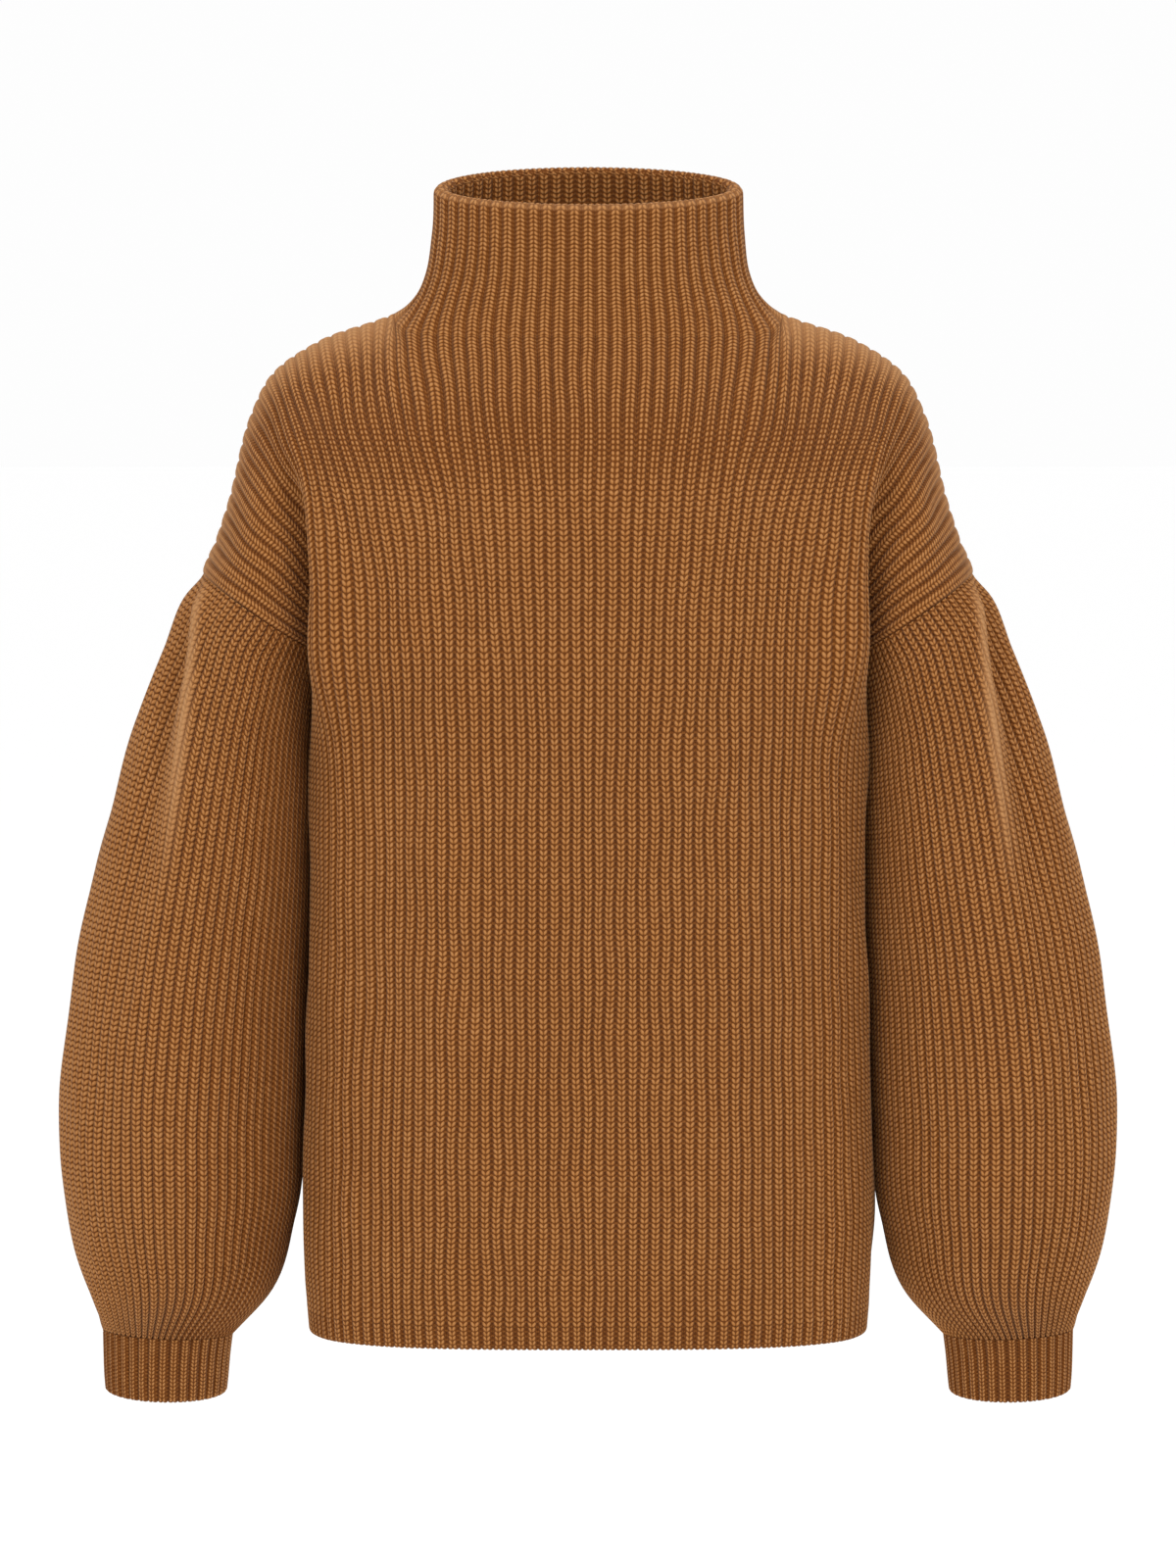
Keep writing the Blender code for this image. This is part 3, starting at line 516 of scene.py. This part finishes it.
def sleeveSurface(piece, ribs, climbs):  # points [climb, rib] and how strongly the yarn there lies flatter and is painted paler, the painted highlight on the tuck's ridge
    rows = np.array(piece["sections"], float)
    values = smoothThrough(rows[:, 0], rows[:, 1:], climbs)
    if values.shape[1] == 5:
        values = np.insert(values, 5, piece["forward"], axis=1)
    rings = []
    shares = np.asarray(ribs) / piece["ribs"]
    shares = shares - piece.get("outerSpread", 0.0) * np.sin(2 * np.pi * shares)
    for climb, row in zip(climbs, values):
        ring = sleeveRing(row, shares)
        if "frontDip" in piece:
            start = piece["frontDipFrom"]
            dip = piece["frontDip"] * max(climb - start, 0) / (1 - start)
            ring[:, 2] -= dip * (ring[:, 1] - row[5]) / row[4]
        rings.append(ring)
    rings = np.array(rings)
    rings[..., 1] *= -1
    if "napHighlightEnd" in piece:
        rings[..., 3] *= 1 - easeBetween(np.asarray(climbs), piece["napHighlightEnd"])[:, None]
        near = 1 - smoothStep(np.asarray(climbs) / piece["headBlend"])[:, None, None]
        rings[..., :3] += near * (armholeRing(shares) - rings[0, :, :3])
    return rings[..., :3], rings[..., 3]


def outward(surface):  # unit normals of a closed ring of columns, away from the hollow side
    along = np.roll(surface, -1, axis=1) - np.roll(surface, 1, axis=1)
    return unit(np.cross(along, np.gradient(surface, axis=0)))


def ribProfile(ribs):
    across = np.abs((np.asarray(ribs, float) + 0.5) % 1 - 0.5)
    crown = np.clip(1 - (2 * across) ** ribShape["square"], 0, 1) ** ribShape["soften"]
    twin = -ribShape["twinDip"] * np.exp(-(across / ribShape["twinHalfWidth"]) ** 2)
    return 2 * (crown + twin) - ribShape["level"]


def unevenness(ribs, rows, seed, reach):  # slack in mm on a grid [row, rib]
    dice = np.random.default_rng(seed)
    ribGrid, rowGrid = np.meshgrid(np.asarray(ribs, float), np.asarray(rows, float))
    total = np.zeros_like(ribGrid)
    for _ in range(slackWaves["count"]):
        acrossTurns = dice.uniform(-slackWaves["acrossTurns"], slackWaves["acrossTurns"])
        upTurns = dice.uniform(-slackWaves["upTurns"], slackWaves["upTurns"])
        start = dice.uniform(0, slackWaves["mostStart"])
        total += np.sin(2 * np.pi * (acrossTurns * ribGrid + upTurns * rowGrid) + start)
    return total * reach / slackWaves["count"] ** 0.5


def knitMesh(name, grid, uv, napAndSheen, closedColumns, innerRows=None):
    # rows of the grid go up the outside and down the inside of the wall, and join up again
    rows, columns = grid.shape[:2]
    ids = np.arange(rows * columns).reshape(rows, columns)
    span = columns if closedColumns else columns - 1
    i, j = np.meshgrid(np.arange(rows), np.arange(span), indexing="ij")
    i, j = i.ravel(), j.ravel()
    up, right = (i + 1) % rows, (j + 1) % columns
    quads = np.stack([ids[i, j], ids[i, right], ids[up, right], ids[up, j]], axis=1)
    corners = np.stack([uv[i, j], uv[i, j + 1], uv[i + 1, j + 1], uv[i + 1, j]], axis=1)
    faces = [tuple(quad) for quad in quads.tolist()]
    loops = [corners.reshape(-1, 2)]
    if not closedColumns:  # close the two long edges of a panel
        outerCount = rows - len(innerRows)
        for column, turn in ((0, 1), (columns - 1, -1)):
            for k in range(len(innerRows) - 1):
                high, low = innerRows[k], innerRows[k + 1]
                run = list(ids[low:high + 1, column])
                face = [ids[outerCount + k + 1, column]] + run + [ids[outerCount + k, column]]
                face = [int(corner) for corner in face]
                faces.append(tuple(face if turn == 1 else face[::-1]))
                loops.append(np.broadcast_to(uv[low, column], (len(face), 2)))
    mesh = bpy.data.meshes.new(name)
    mesh.from_pydata((grid.reshape(-1, 3) / 1000).tolist(), [], faces)
    layer = mesh.uv_layers.new(name="knit")
    layer.data.foreach_set("uv", np.concatenate(loops).astype(np.float32).ravel())
    # the mark for yarn that lies flatter and is painted paler, a painted sheen highlight
    brushed = mesh.attributes.new("brushed", "FLOAT", "POINT")
    brushed.data.foreach_set("value", napAndSheen.astype(np.float32).ravel())
    mesh.update()
    piece = bpy.data.objects.new(name, mesh)
    bpy.context.scene.collection.objects.link(piece)
    for other in bpy.context.selected_objects:
        other.select_set(False)
    piece.select_set(True)
    bpy.context.view_layer.objects.active = piece
    bpy.ops.object.shade_smooth_by_angle(angle=np.radians(50))
    piece.select_set(False)
    return piece


def countRows(surface, climbs, piece):  # how many rows of stitches come before each grid row
    heights = np.interp(climbs, *np.transpose(piece["rowHeights"]))
    steps = np.linalg.norm(np.diff(surface, axis=0), axis=2).mean(axis=1)
    middle = (heights[1:] + heights[:-1]) / 2
    return np.concatenate([[0.0], np.cumsum(steps / middle)])


def insideRows(climbs, piece):  # the rows that the inside of the wall keeps, from the top down
    rows = list(range(len(climbs) - 1, -1, -piece["insideEvery"]))
    return rows if rows[-1] == 0 else rows + [0]


def wrapRows(outer, normals, ribs, walls, piece, innerRows, flatter=0.0):
    # rounds the top edge over, then lays the inside of the wall, which has ribs where the
    # outside has grooves
    rimRows = piece["rimRows"]
    walls = np.broadcast_to(walls, len(outer))
    half = piece["ribHeight"] / 2
    relief = half * (ribProfile(ribs)[None, :] * (1 - flatter) + 0.5 * flatter) + outer[..., 0] * 0
    shown = outer + normals * relief[..., None]
    back = half * ribProfile(ribs + 0.5)
    inner = outer - normals * (walls[:, None] + back[None, :] - half)[..., None]
    rim = []
    for k in range(1, rimRows + 1):
        turn = np.pi * k / (rimRows + 1)
        middle = (shown[-1] + inner[-1]) / 2
        reach = (shown[-1] - inner[-1]) / 2
        rise = unit(outer[-1] - outer[-2]) * np.linalg.norm(reach, axis=1, keepdims=True)
        rim.append(middle + reach * np.cos(turn) + rise * np.sin(turn))
    parts = [shown] + ([np.array(rim)] if rimRows else []) + [inner[innerRows]]
    return np.concatenate(parts)


def gridUv(ribs, rows, closed, piece, innerRows):
    # across is the rib number and up is the row of stitches; the inside is half a rib along
    across = np.append(ribs, ribs[-1] + ribs[1] - ribs[0]) if closed else np.append(ribs, ribs[-1])
    rimRows, rimStep = piece["rimRows"], 0.5
    rimUp = rows[-1] + np.arange(1, rimRows + 1) * rimStep
    up = np.concatenate([rows, rimUp, 2 * rows[-1] + rimRows * rimStep + 1 - rows[innerRows]])
    up = np.append(up, up[-1] + 1)
    shift = np.zeros(len(up))
    shift[len(rows) + rimRows:] = 0.5
    uv = np.empty((len(up), len(across), 2))
    uv[..., 0] = across[None, :] + shift[:, None]
    uv[..., 1] = up[:, None]
    return uv


def mirrored(grid, uv, napAndSheen):
    return turned(grid[:, ::-1], out=-1), uv[:, ::-1], napAndSheen[:, ::-1]


def dress(piece, node, knit):
    piece.data.materials.append(looks[knit])
    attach(piece, "root")
    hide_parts(node)
    count = sum(len(face.vertices) - 2 for face in piece.data.polygons)
    print("made", piece.name, "with", count, "triangles")


class Wire:  # a socket, so that shader maths reads as plain sums
    def __init__(self, board, socket):
        self.board = board
        self.socket = socket

    def join(self, operation, first, second):
        return self.board.add("ShaderNodeMath", {"operation": operation}, {0: first, 1: second})

    def __add__(self, other):
        return self.join("ADD", self, other)

    def __radd__(self, other):
        return self.join("ADD", other, self)

    def __sub__(self, other):
        return self.join("SUBTRACT", self, other)

    def __rsub__(self, other):
        return self.join("SUBTRACT", other, self)

    def __mul__(self, other):
        return self.join("MULTIPLY", self, other)

    def __rmul__(self, other):
        return self.join("MULTIPLY", other, self)

    def __truediv__(self, other):
        return self.join("DIVIDE", self, other)

    def __pow__(self, other):
        return self.join("POWER", self, other)

    def __abs__(self):
        return self.join("ABSOLUTE", self, 0.0)

    def apply(self, operation, other=0.0):
        return self.join(operation, self, other)


class Board:  # one material's nodes
    def __init__(self, name):
        self.material = bpy.data.materials.new(name)
        self.material.use_nodes = True
        self.tree = self.material.node_tree
        self.tree.nodes.clear()

    def add(self, kind, settings=None, values=None, output=0):
        node = self.tree.nodes.new(kind)
        for key, value in (settings or {}).items():
            if key == "stops":
                ramp = node.color_ramp
                while len(ramp.elements) < len(value):
                    ramp.elements.new(0.5)
                for element, (place, colour) in zip(ramp.elements, value):
                    element.position = place
                    element.color = (*colour, 1.0)
            else:
                setattr(node, key, value)
        for key, value in (values or {}).items():
            if isinstance(value, Wire):
                self.tree.links.new(value.socket, node.inputs[key])
            else:
                node.inputs[key].default_value = value
        return Wire(self, node.outputs[output]) if len(node.outputs) else None


yarn = {
    # the yarn's colour ramp from low tone to high: low places of the stitch relief land at the dark end,
    # painted shade in the grooves and between stitches
    "stops": (
        (0.0, (0.130, 0.038, 0.0065)),
        (0.30, (0.225, 0.076, 0.0150)),
        (0.62, (0.395, 0.162, 0.045)),
        (1.0, (0.500, 0.252, 0.100)),
    ),
    "noises": {  # scale and detail
        "slack": (95.0, 1.0), "fibre": (1500.0, 2.0), "blotch": (240.0, 1.0), "patch": (16.0, 2.0),
    },
    "slack": 0.22,  # how far a stitch strays, in rows
    "slackAcross": 0.28,
    # how much darker the yarn is painted where the stitch relief lies low, painted shade in grooves and gaps
    "heightShadeTone": 0.90,
    "fibreTone": 0.24,
    "blotchTone": 0.34,
    "patchTone": 0.12,
    "fibreRise": 0.18,
    # marked yarn is painted paler, a painted sheen highlight, with its tone evened and its bump flattened
    "napSheenColour": (0.46, 0.27, 0.135),
    "napHighlightTone": 0.58,
    "napEvens": 0.7,
    "napFills": 0.8,
    "napSheenShows": 0.5,
    # pale colour where the cloth turns away from the eye, painted sheen at the silhouettes
    "edgeSheenPower": 5.0,
    "edgeSheen": 0.6,
    "bump": 0.9,
    "depth": 0.0011,
    "roughness": 0.92,
    "specular": 0.08,
    "sheen": 0.07,
    "sheenRoughness": 0.45,
    "sheenTint": (1.0, 0.86, 0.72, 1.0),
}

# a stitch is two legs of yarn; places across are in ribs from the rib's middle, heights in rows
knits = {
    "funnel": {
        "ribOverRow": 3.2, "legOut": 0.178, "legLength": 0.68, "legWidth": 0.40, "lean": -0.80,
        "barOut": 0.07, "barWidth": 0.075, "barHeight": 0.26, "barBend": -3.0, "barRise": 0.45,
        "legRise": 0.84, "legTopRise": 0.26, "uprightShorter": 0.8,
    },
}
knits["sleeve"] = {
    **knits["funnel"], "ribOverRow": 2.1, "legOut": 0.19, "legLength": 0.61, "legWidth": 0.34, "lean": 0.62,
    "barOut": 0.0, "barWidth": 0.15, "barHeight": 0.30, "barBend": 0.0,
}
knits["body"] = {
    **knits["sleeve"], "ribOverRow": 2.2, "top": knits["funnel"], "topFrom": -0.115, "topTo": -0.035,
}
knits["cuff"] = {**knits["sleeve"], "ribOverRow": 2.9, "legOut": 0.16, "lean": 0.5}
knits["hem"] = {**knits["cuff"], "ribOverRow": 2.5}


def knitLook(name, look):
    board = Board(name)
    uv = board.add("ShaderNodeUVMap", {"uv_map": "knit"})
    split = board.add("ShaderNodeSeparateXYZ", {}, {0: uv})
    across, up = (Wire(board, split.socket.node.outputs[k]) for k in range(2))
    place = board.add("ShaderNodeTexCoord", {}, {}, "Object")
    brushed = board.add("ShaderNodeAttribute", {"attribute_name": "brushed"}, {}, "Fac")

    def noise(key, **more):  # swings about zero
        scale, detail = yarn["noises"][key]
        values = {"Vector": place, "Scale": scale, "Detail": detail, **more}
        return board.add("ShaderNodeTexNoise", {}, values, "Fac") - 0.5

    # each stitch sits a little off its place
    drift = noise("slack") * yarn["slack"]
    across = across + drift * yarn["slackAcross"]
    up = up + drift
    offset = abs((across + 0.5).apply("FRACT") - 0.5)
    row = up.apply("FRACT") - 0.5

    # what differs at the top of a panel is blended in by height
    share = None
    if "top" in look:
        high = board.add("ShaderNodeSeparateXYZ", {}, {0: place}, 2)
        share = board.add(
            "ShaderNodeMapRange", {"interpolation_type": "SMOOTHSTEP"},
            {"Value": high, "From Min": look["topFrom"], "From Max": look["topTo"]})

    def pick(key):
        if share is None or look["top"][key] == look[key]:
            return look[key]
        return look[key] + share * (look["top"][key] - look[key])

    # the legs lean together at the bottom where the lean is above zero, and at the top below it
    lean = pick("lean")
    if isinstance(lean, Wire):
        leanSin, leanCos = lean.apply("SINE"), lean.apply("COSINE")
    else:
        leanSin, leanCos = float(np.sin(lean)), float(np.cos(lean))
    legLength, legWidth = pick("legLength"), pick("legWidth")
    if share is not None:  # upright stitches are shorter, or they would run together
        legLength = legLength - share * (1.0 - share) * look["uprightShorter"]
    side = (offset - pick("legOut")) * pick("ribOverRow")
    legs = []
    for shift in (row, row - row.apply("SIGN")):
        along = (side * leanSin + shift * leanCos) / legLength
        aside = (side * leanCos - shift * leanSin) / legWidth
        legs.append(1.0 - along * along - aside * aside)
    leg = legs[0].apply("MAXIMUM", legs[1]).apply("MAXIMUM", 0.0) ** 0.5
    # the upper end of each leg stands higher, so it is also painted lighter, partly a painted highlight as
    # from light above
    rise = leg * (look["legRise"] + row * look["legTopRise"])

    # little bars of yarn down in the groove between ribs
    groove = 0.5 - offset
    barRow = (up + 0.5 + groove * pick("barBend")).apply("FRACT") - 0.5
    barAside, barUp = (groove - pick("barOut")) / pick("barWidth"), barRow / pick("barHeight")
    bar = (1.0 - barAside * barAside - barUp * barUp).apply("MAXIMUM", 0.0) ** 0.5
    height = rise.apply("MAXIMUM", bar * look["barRise"])

    # fibres and the colour of single stitches; the colour follows the stitch height, so grooves and the gaps
    # between stitches are painted darker, a painted shade
    fibre = noise("fibre", Roughness=0.6)
    tone = height * yarn["heightShadeTone"] + fibre * yarn["fibreTone"]
    tone = tone + noise("blotch") * yarn["blotchTone"] + noise("patch") * yarn["patchTone"]
    # marked yarn gets an evener, paler tone, a painted sheen highlight
    tone = tone * (1.0 - brushed * yarn["napEvens"]) + brushed * yarn["napHighlightTone"]
    colour = board.add("ShaderNodeValToRGB", {"stops": yarn["stops"]}, {0: tone}, "Color")

    # painted sheen: pale colour on the marked yarn of the shoulder line, tuck ridge and neck rim, and where
    # the cloth turns away from the eye at the silhouettes
    edge = board.add("ShaderNodeLayerWeight", {}, {"Blend": 0.5}, "Facing") ** yarn["edgeSheenPower"]
    paleSheen = (brushed * yarn["napSheenShows"]).apply("MAXIMUM", edge * yarn["edgeSheen"])
    colour = board.add(
        "ShaderNodeMix", {"data_type": "RGBA"}, {0: paleSheen, 6: colour, 7: (*yarn["napSheenColour"], 1.0)}, 2)
    raised = (height + fibre * yarn["fibreRise"]) * (1.0 - brushed * yarn["napFills"])
    bump = board.add(
        "ShaderNodeBump", {},
        {"Strength": yarn["bump"], "Distance": yarn["depth"], "Height": raised}, "Normal")
    shader = board.add("ShaderNodeBsdfPrincipled", {}, {
        "Base Color": colour, "Roughness": yarn["roughness"], "Normal": bump,
        "Specular IOR Level": yarn["specular"], "Sheen Weight": yarn["sheen"],
        "Sheen Roughness": yarn["sheenRoughness"], "Sheen Tint": yarn["sheenTint"],
    })
    board.add("ShaderNodeOutputMaterial", {}, {"Surface": shader})
    return board.material


looks = {name: knitLook(name + "Knit", look) for name, look in knits.items()}
print("made", len(looks), "knit materials")


def panelEdges(ribs, climbs):  # which grid points lie on the shoulder seam, and on the side seam
    onShoulder = (np.abs(ribs)[None, :] > funnel["halfRibs"] - 1) & (climbs[:, None] > 0.999)
    onSide = (np.abs(ribs)[None, :] > body["halfRibs"] - 0.01) & (climbs[:, None] < 0.01)
    return onShoulder, onSide


def panelNormals(face, ribs, climbs):
    edge = body["halfRibs"]
    climbStep, ribStep = 1e-3, 0.05
    up = panelSurface(face, ribs, climbs + climbStep) - panelSurface(face, ribs, climbs - climbStep)
    along = panelSurface(face, np.clip(ribs + ribStep, -edge, edge), climbs)
    along = along - panelSurface(face, np.clip(ribs - ribStep, -edge, edge), climbs)
    onShoulder, onSide = panelEdges(ribs, climbs)
    toOther = np.array([0.0, 1.0 if face == "front" else -1.0, 0.0])
    along[onSide] = np.broadcast_to(toOther * np.sign(ribs)[:, None], along.shape)[onSide]
    up[onShoulder] = toOther
    normals = unit(np.cross(along, up) * (1 if face == "front" else -1))
    nearNeck = easeBetween(climbs, (0.9, 1.0))[:, None, None]
    neckLine = np.abs(ribs) <= funnel["halfRibs"]
    baseNormals = funnelNormals(ribsRoundNeck(face, ribs)[neckLine], np.array([0.0]))
    normals[:, neckLine] = unit(normals[:, neckLine] * (1 - nearNeck) + baseNormals * nearNeck)
    return normals


def softenCorner(surface, ribs, climbs):  # evens out the ribs below the corner of neck and shoulder
    soft = surface.copy()
    for _ in range(body["cornerPasses"]):
        soft[:, 1:-1] += 0.25 * (soft[:, 2:] + soft[:, :-2] - 2 * soft[:, 1:-1])
    share = np.exp(-((np.abs(ribs) - funnel["halfRibs"]) / body["cornerRibs"]) ** 2)[None, :]
    share = share * (1 - easeBetween(climbs, body["cornerEnd"]))[:, None]
    return surface + (soft - surface) * share[..., None]


def makePanel(face):
    perRib = body["columnsPerRib"]
    edge = body["halfRibs"]
    steps = int(edge * perRib)
    ribs = np.arange(-steps, steps + 1) / perRib
    climbs = np.concatenate([np.linspace(-2, 0, 77)[:-1], np.linspace(0, 1, 47)])
    normals = panelNormals(face, ribs, climbs)
    surface = panelSurface(face, ribs, climbs)
    onShoulder, onSide = panelEdges(ribs, climbs)
    backOff = body["seamGap"] / 2 * (-1 if face == "front" else 1)
    surface[..., 1] += np.where(onShoulder | onSide, backOff, 0)
    neckLine = np.abs(ribs) <= funnel["halfRibs"]
    low, moves = easeNeck(face, ribs[neckLine])[:2]
    surface[:, neckLine] += readMoves(low, moves, climbs)
    surface = softenCorner(surface, ribs, climbs)
    if face == "back":
        surface, normals, ribs = surface[:, ::-1], normals[:, ::-1], ribs[::-1]

    # slack in the cloth, none of it at the seams
    rows = countRows(surface, climbs, body)
    fromEdge = edge - np.abs(ribs)
    atEdge = smoothStep((climbs + 2) / 0.1) * smoothStep((1 - climbs) / 0.1)
    fade = atEdge[:, None] * smoothStep(fromEdge / 2)[None, :]
    surface = surface + normals * (unevenness(ribs, rows, 11, body["slackOut"]) * fade)[..., None]
    over = smoothStep((2 - fromEdge) / 1.2)[None, :] * smoothStep((climbs - 0.5) / 0.4)[:, None]
    surface = surface + normals * (body["overhang"] * over)[..., None]
    aside = unit(np.gradient(surface, axis=1))
    surface = surface + aside * (unevenness(ribs, rows, 12, body["slackAside"]) * fade)[..., None]

    # the shoulder line's yarn lies flatter and is painted paler, a painted sheen highlight
    nearTop, besideNeck = easeBetween(climbs, body["napSheenStart"]), easeBetween(np.abs(ribs), body["napSheenRibs"])
    napAndSheen = body["shoulderNapSheen"] * np.outer(nearTop, besideNeck)
    innerRows = insideRows(climbs, body)
    grid = wrapRows(surface, normals, ribs, body["wall"], body, innerRows, napAndSheen * body["shoulderFlat"])
    uv = gridUv(ribs, rows, False, body, innerRows)
    napAndSheenGrid = np.concatenate([napAndSheen, napAndSheen[innerRows] * 0])
    return knitMesh("knit_" + face, grid, uv, napAndSheenGrid, False, innerRows)


def makeFunnel():
    perRib = funnel["columnsPerRib"]
    half = funnel["halfRibs"]
    ribs = np.arange(4 * half * perRib) / perRib
    climbs = np.linspace(0, 0.95, 44)
    surface = funnelSurface(ribs, climbs)
    normals = funnelNormals(ribs, climbs)
    ribsOfFace = {"front": (ribs + 2 * half) % (4 * half) - 2 * half, "back": 2 * half - ribs}
    for face, faceRibs in ribsOfFace.items():
        here = np.abs(faceRibs) <= half
        high, moves = easeNeck(face, faceRibs[here])[2:]
        surface[:, here] += readMoves(high, moves, climbs)
    rows = countRows(surface, climbs, funnel)
    aboveBase = smoothStep(climbs / 0.1)[:, None, None]
    surface += normals * unevenness(ribs, rows, 21, funnel["slackOut"])[..., None] * aboveBase
    fromMiddle = half - np.abs(ribs % (2 * half) - half)
    # the shoulder line's flatter, painted-paler yarn runs on up the base of the funnel
    nearBase = 1 - easeBetween(climbs, (0, funnel["baseNapSheenEnd"]))
    napAndSheen = body["shoulderNapSheen"] * np.outer(nearBase, easeBetween(fromMiddle, body["napSheenRibs"]))
    walls = np.interp(climbs, *np.transpose(funnel["walls"]))
    innerRows = insideRows(climbs, funnel)
    grid = wrapRows(surface, normals, ribs, walls, funnel, innerRows, napAndSheen * body["shoulderFlat"])
    uv = gridUv(ribs, rows, True, funnel, innerRows)
    napAndSheenGrid = np.zeros(grid.shape[:2])
    napAndSheenGrid[:len(climbs)] = napAndSheen
    # the top rows of the rim get a painted highlight
    napAndSheenGrid[len(climbs):len(climbs) + funnel["rimHighlightRows"]] = funnel["rimNapHighlight"]
    return knitMesh("knit_funnel_neck", grid, uv, napAndSheenGrid, True)


def makeSleeve(side):
    perRib = sleeve["columnsPerRib"]
    ribs = np.arange(sleeve["ribs"] * perRib) / perRib
    climbs = np.concatenate([np.linspace(0, 0.12, 16), np.linspace(0.12, 0.9, 72), np.linspace(0.9, 1, 16)])
    climbs = np.unique(climbs)
    surface, napAndSheen = sleeveSurface(sleeve, ribs, climbs)
    surface, napAndSheen, climbs = surface[::-1], napAndSheen[::-1], climbs[::-1]
    normals = outward(surface)
    rows = countRows(surface, climbs, sleeve)
    fade = smoothStep(rows / 6) * smoothStep((rows[-1] - rows) / 6)
    turns = np.abs(np.sin(np.pi * ribs / sleeve["ribs"]))[None, :]
    slack = unevenness(ribs, rows, 31, sleeve["slackOut"]) * fade[:, None] * turns
    surface = surface + normals * slack[..., None]
    innerRows = insideRows(climbs, sleeve)
    grid = wrapRows(surface, normals, ribs, sleeve["wall"], sleeve, innerRows)
    uv = gridUv(ribs, rows, True, sleeve, innerRows)
    napAndSheenGrid = np.concatenate([napAndSheen, napAndSheen[innerRows] * 0])
    if side == "right":
        grid, uv, napAndSheenGrid = mirrored(grid, uv, napAndSheenGrid)
    return knitMesh("knit_sleeve_" + side, grid, uv, napAndSheenGrid, True)


def makeCuff(side):
    perRib = cuff["columnsPerRib"]
    ribs = np.arange(cuff["ribs"] * perRib)[::-1] / perRib
    climbs = np.linspace(0, 0.95, 16)
    surface = sleeveSurface(cuff, ribs, climbs)[0]
    normals = outward(surface)
    rows = countRows(surface, climbs, cuff)
    innerRows = insideRows(climbs, cuff)
    grid = wrapRows(surface, normals, ribs, cuff["wall"], cuff, innerRows)
    uv = gridUv(ribs, -rows, True, cuff, innerRows)
    napAndSheenGrid = np.zeros(grid.shape[:2])
    if side == "right":
        grid, uv, napAndSheenGrid = mirrored(grid, uv, napAndSheenGrid)
    return knitMesh("knit_cuff_" + side, grid, uv, napAndSheenGrid, True)


def makeHem():
    perRib = hem["columnsPerRib"]
    steps = int(body["halfRibs"] * perRib)
    ribs = np.arange(-steps, steps) / perRib
    front, back = panelSurface("front", ribs, [-2.0])[0], panelSurface("back", -ribs, [-2.0])[0]
    ring = np.concatenate([front, back])[::-1]
    climbs = np.array([0.0, 0.3, 0.6, 0.82])
    top = ring.copy()
    top[:, 2] = body["bottomUp"] - body["seamGap"]
    bottom = ring * np.array(hem["narrowing"])
    bottom[:, 2] = hem["bottomUp"]
    surface = np.array([top + (bottom - top) * climb for climb in climbs])
    normals = unit(outward(surface) * np.array([1, 1, 0]))
    rows = countRows(surface, climbs, hem)
    ribsRound = np.concatenate([ribs, ribs + 2 * body["halfRibs"]])[::-1]
    innerRows = insideRows(climbs, hem)
    grid = wrapRows(surface, normals, ribsRound, hem["wall"], hem, innerRows)
    uv = gridUv(ribsRound, -rows, True, hem, innerRows)
    return knitMesh("knit_hem_rib", grid, uv, np.zeros(grid.shape[:2]), True)


def layFloor():
    bpy.ops.mesh.primitive_plane_add(
        size=studio["floorSize"], location=(0, 12, studio["floorHeight"]))
    floor = bpy.context.object
    floor.name = "floor"
    board = Board("floorPaper")
    shader = board.add("ShaderNodeBsdfPrincipled", {}, {
        "Base Color": (*studio["floorColour"], 1.0), "Roughness": 0.9, "Specular IOR Level": 0.1,
        "Emission Color": (1.0, 1.0, 1.0, 1.0), "Emission Strength": studio["floorGlow"],
    })
    board.add("ShaderNodeOutputMaterial", {}, {"Surface": shader})
    floor.data.materials.append(board.material)


def aimAt(thing, place):
    thing.rotation_euler = (Vector(place) - thing.location).to_track_quat("-Z", "Y").to_euler()


def setStudio():
    camera = bpy.data.objects.new("camera", bpy.data.cameras.new("camera"))
    bpy.context.scene.collection.objects.link(camera)
    camera.location = studio["cameraAt"]
    camera.data.lens = studio["lensMm"]
    camera.data.sensor_width = studio["sensorMm"]
    aimAt(camera, studio["lookAt"])
    bpy.context.scene.camera = camera
    for name, place, size, watts in studio["lights"]:
        light = bpy.data.objects.new(name, bpy.data.lights.new(name, "AREA"))
        bpy.context.scene.collection.objects.link(light)
        light.location = place
        light.data.shape = "DISK"
        light.data.size = size
        light.data.energy = watts
        aimAt(light, studio["lookAt"])
    world = bpy.data.worlds.new("studio")
    bpy.context.scene.world = world
    world.use_nodes = True
    tree = world.node_tree
    rays = tree.nodes.new("ShaderNodeLightPath")
    mix = tree.nodes.new("ShaderNodeMix")
    mix.inputs["A"].default_value = studio["backdropLight"]
    mix.inputs["B"].default_value = studio["backdropShown"]
    tree.links.new(rays.outputs["Is Camera Ray"], mix.inputs["Factor"])
    tree.nodes["Background"].inputs["Color"].default_value = (1.0, 1.0, 1.0, 1.0)
    tree.links.new(mix.outputs["Result"], tree.nodes["Background"].inputs["Strength"])


bpy.context.scene.view_settings.view_transform = "Standard"
setStudio()
layFloor()
print("set the camera, lights and floor")

dress(makePanel("front"), "front", "body")
dress(makePanel("back"), "back", "body")
dress(makeFunnel(), "funnel_neck", "funnel")
dress(makeHem(), "hem_rib", "hem")
for side in ("left", "right"):
    dress(makeSleeve(side), "sleeve_" + side, "sleeve")
    dress(makeCuff(side), "cuff_" + side, "cuff")
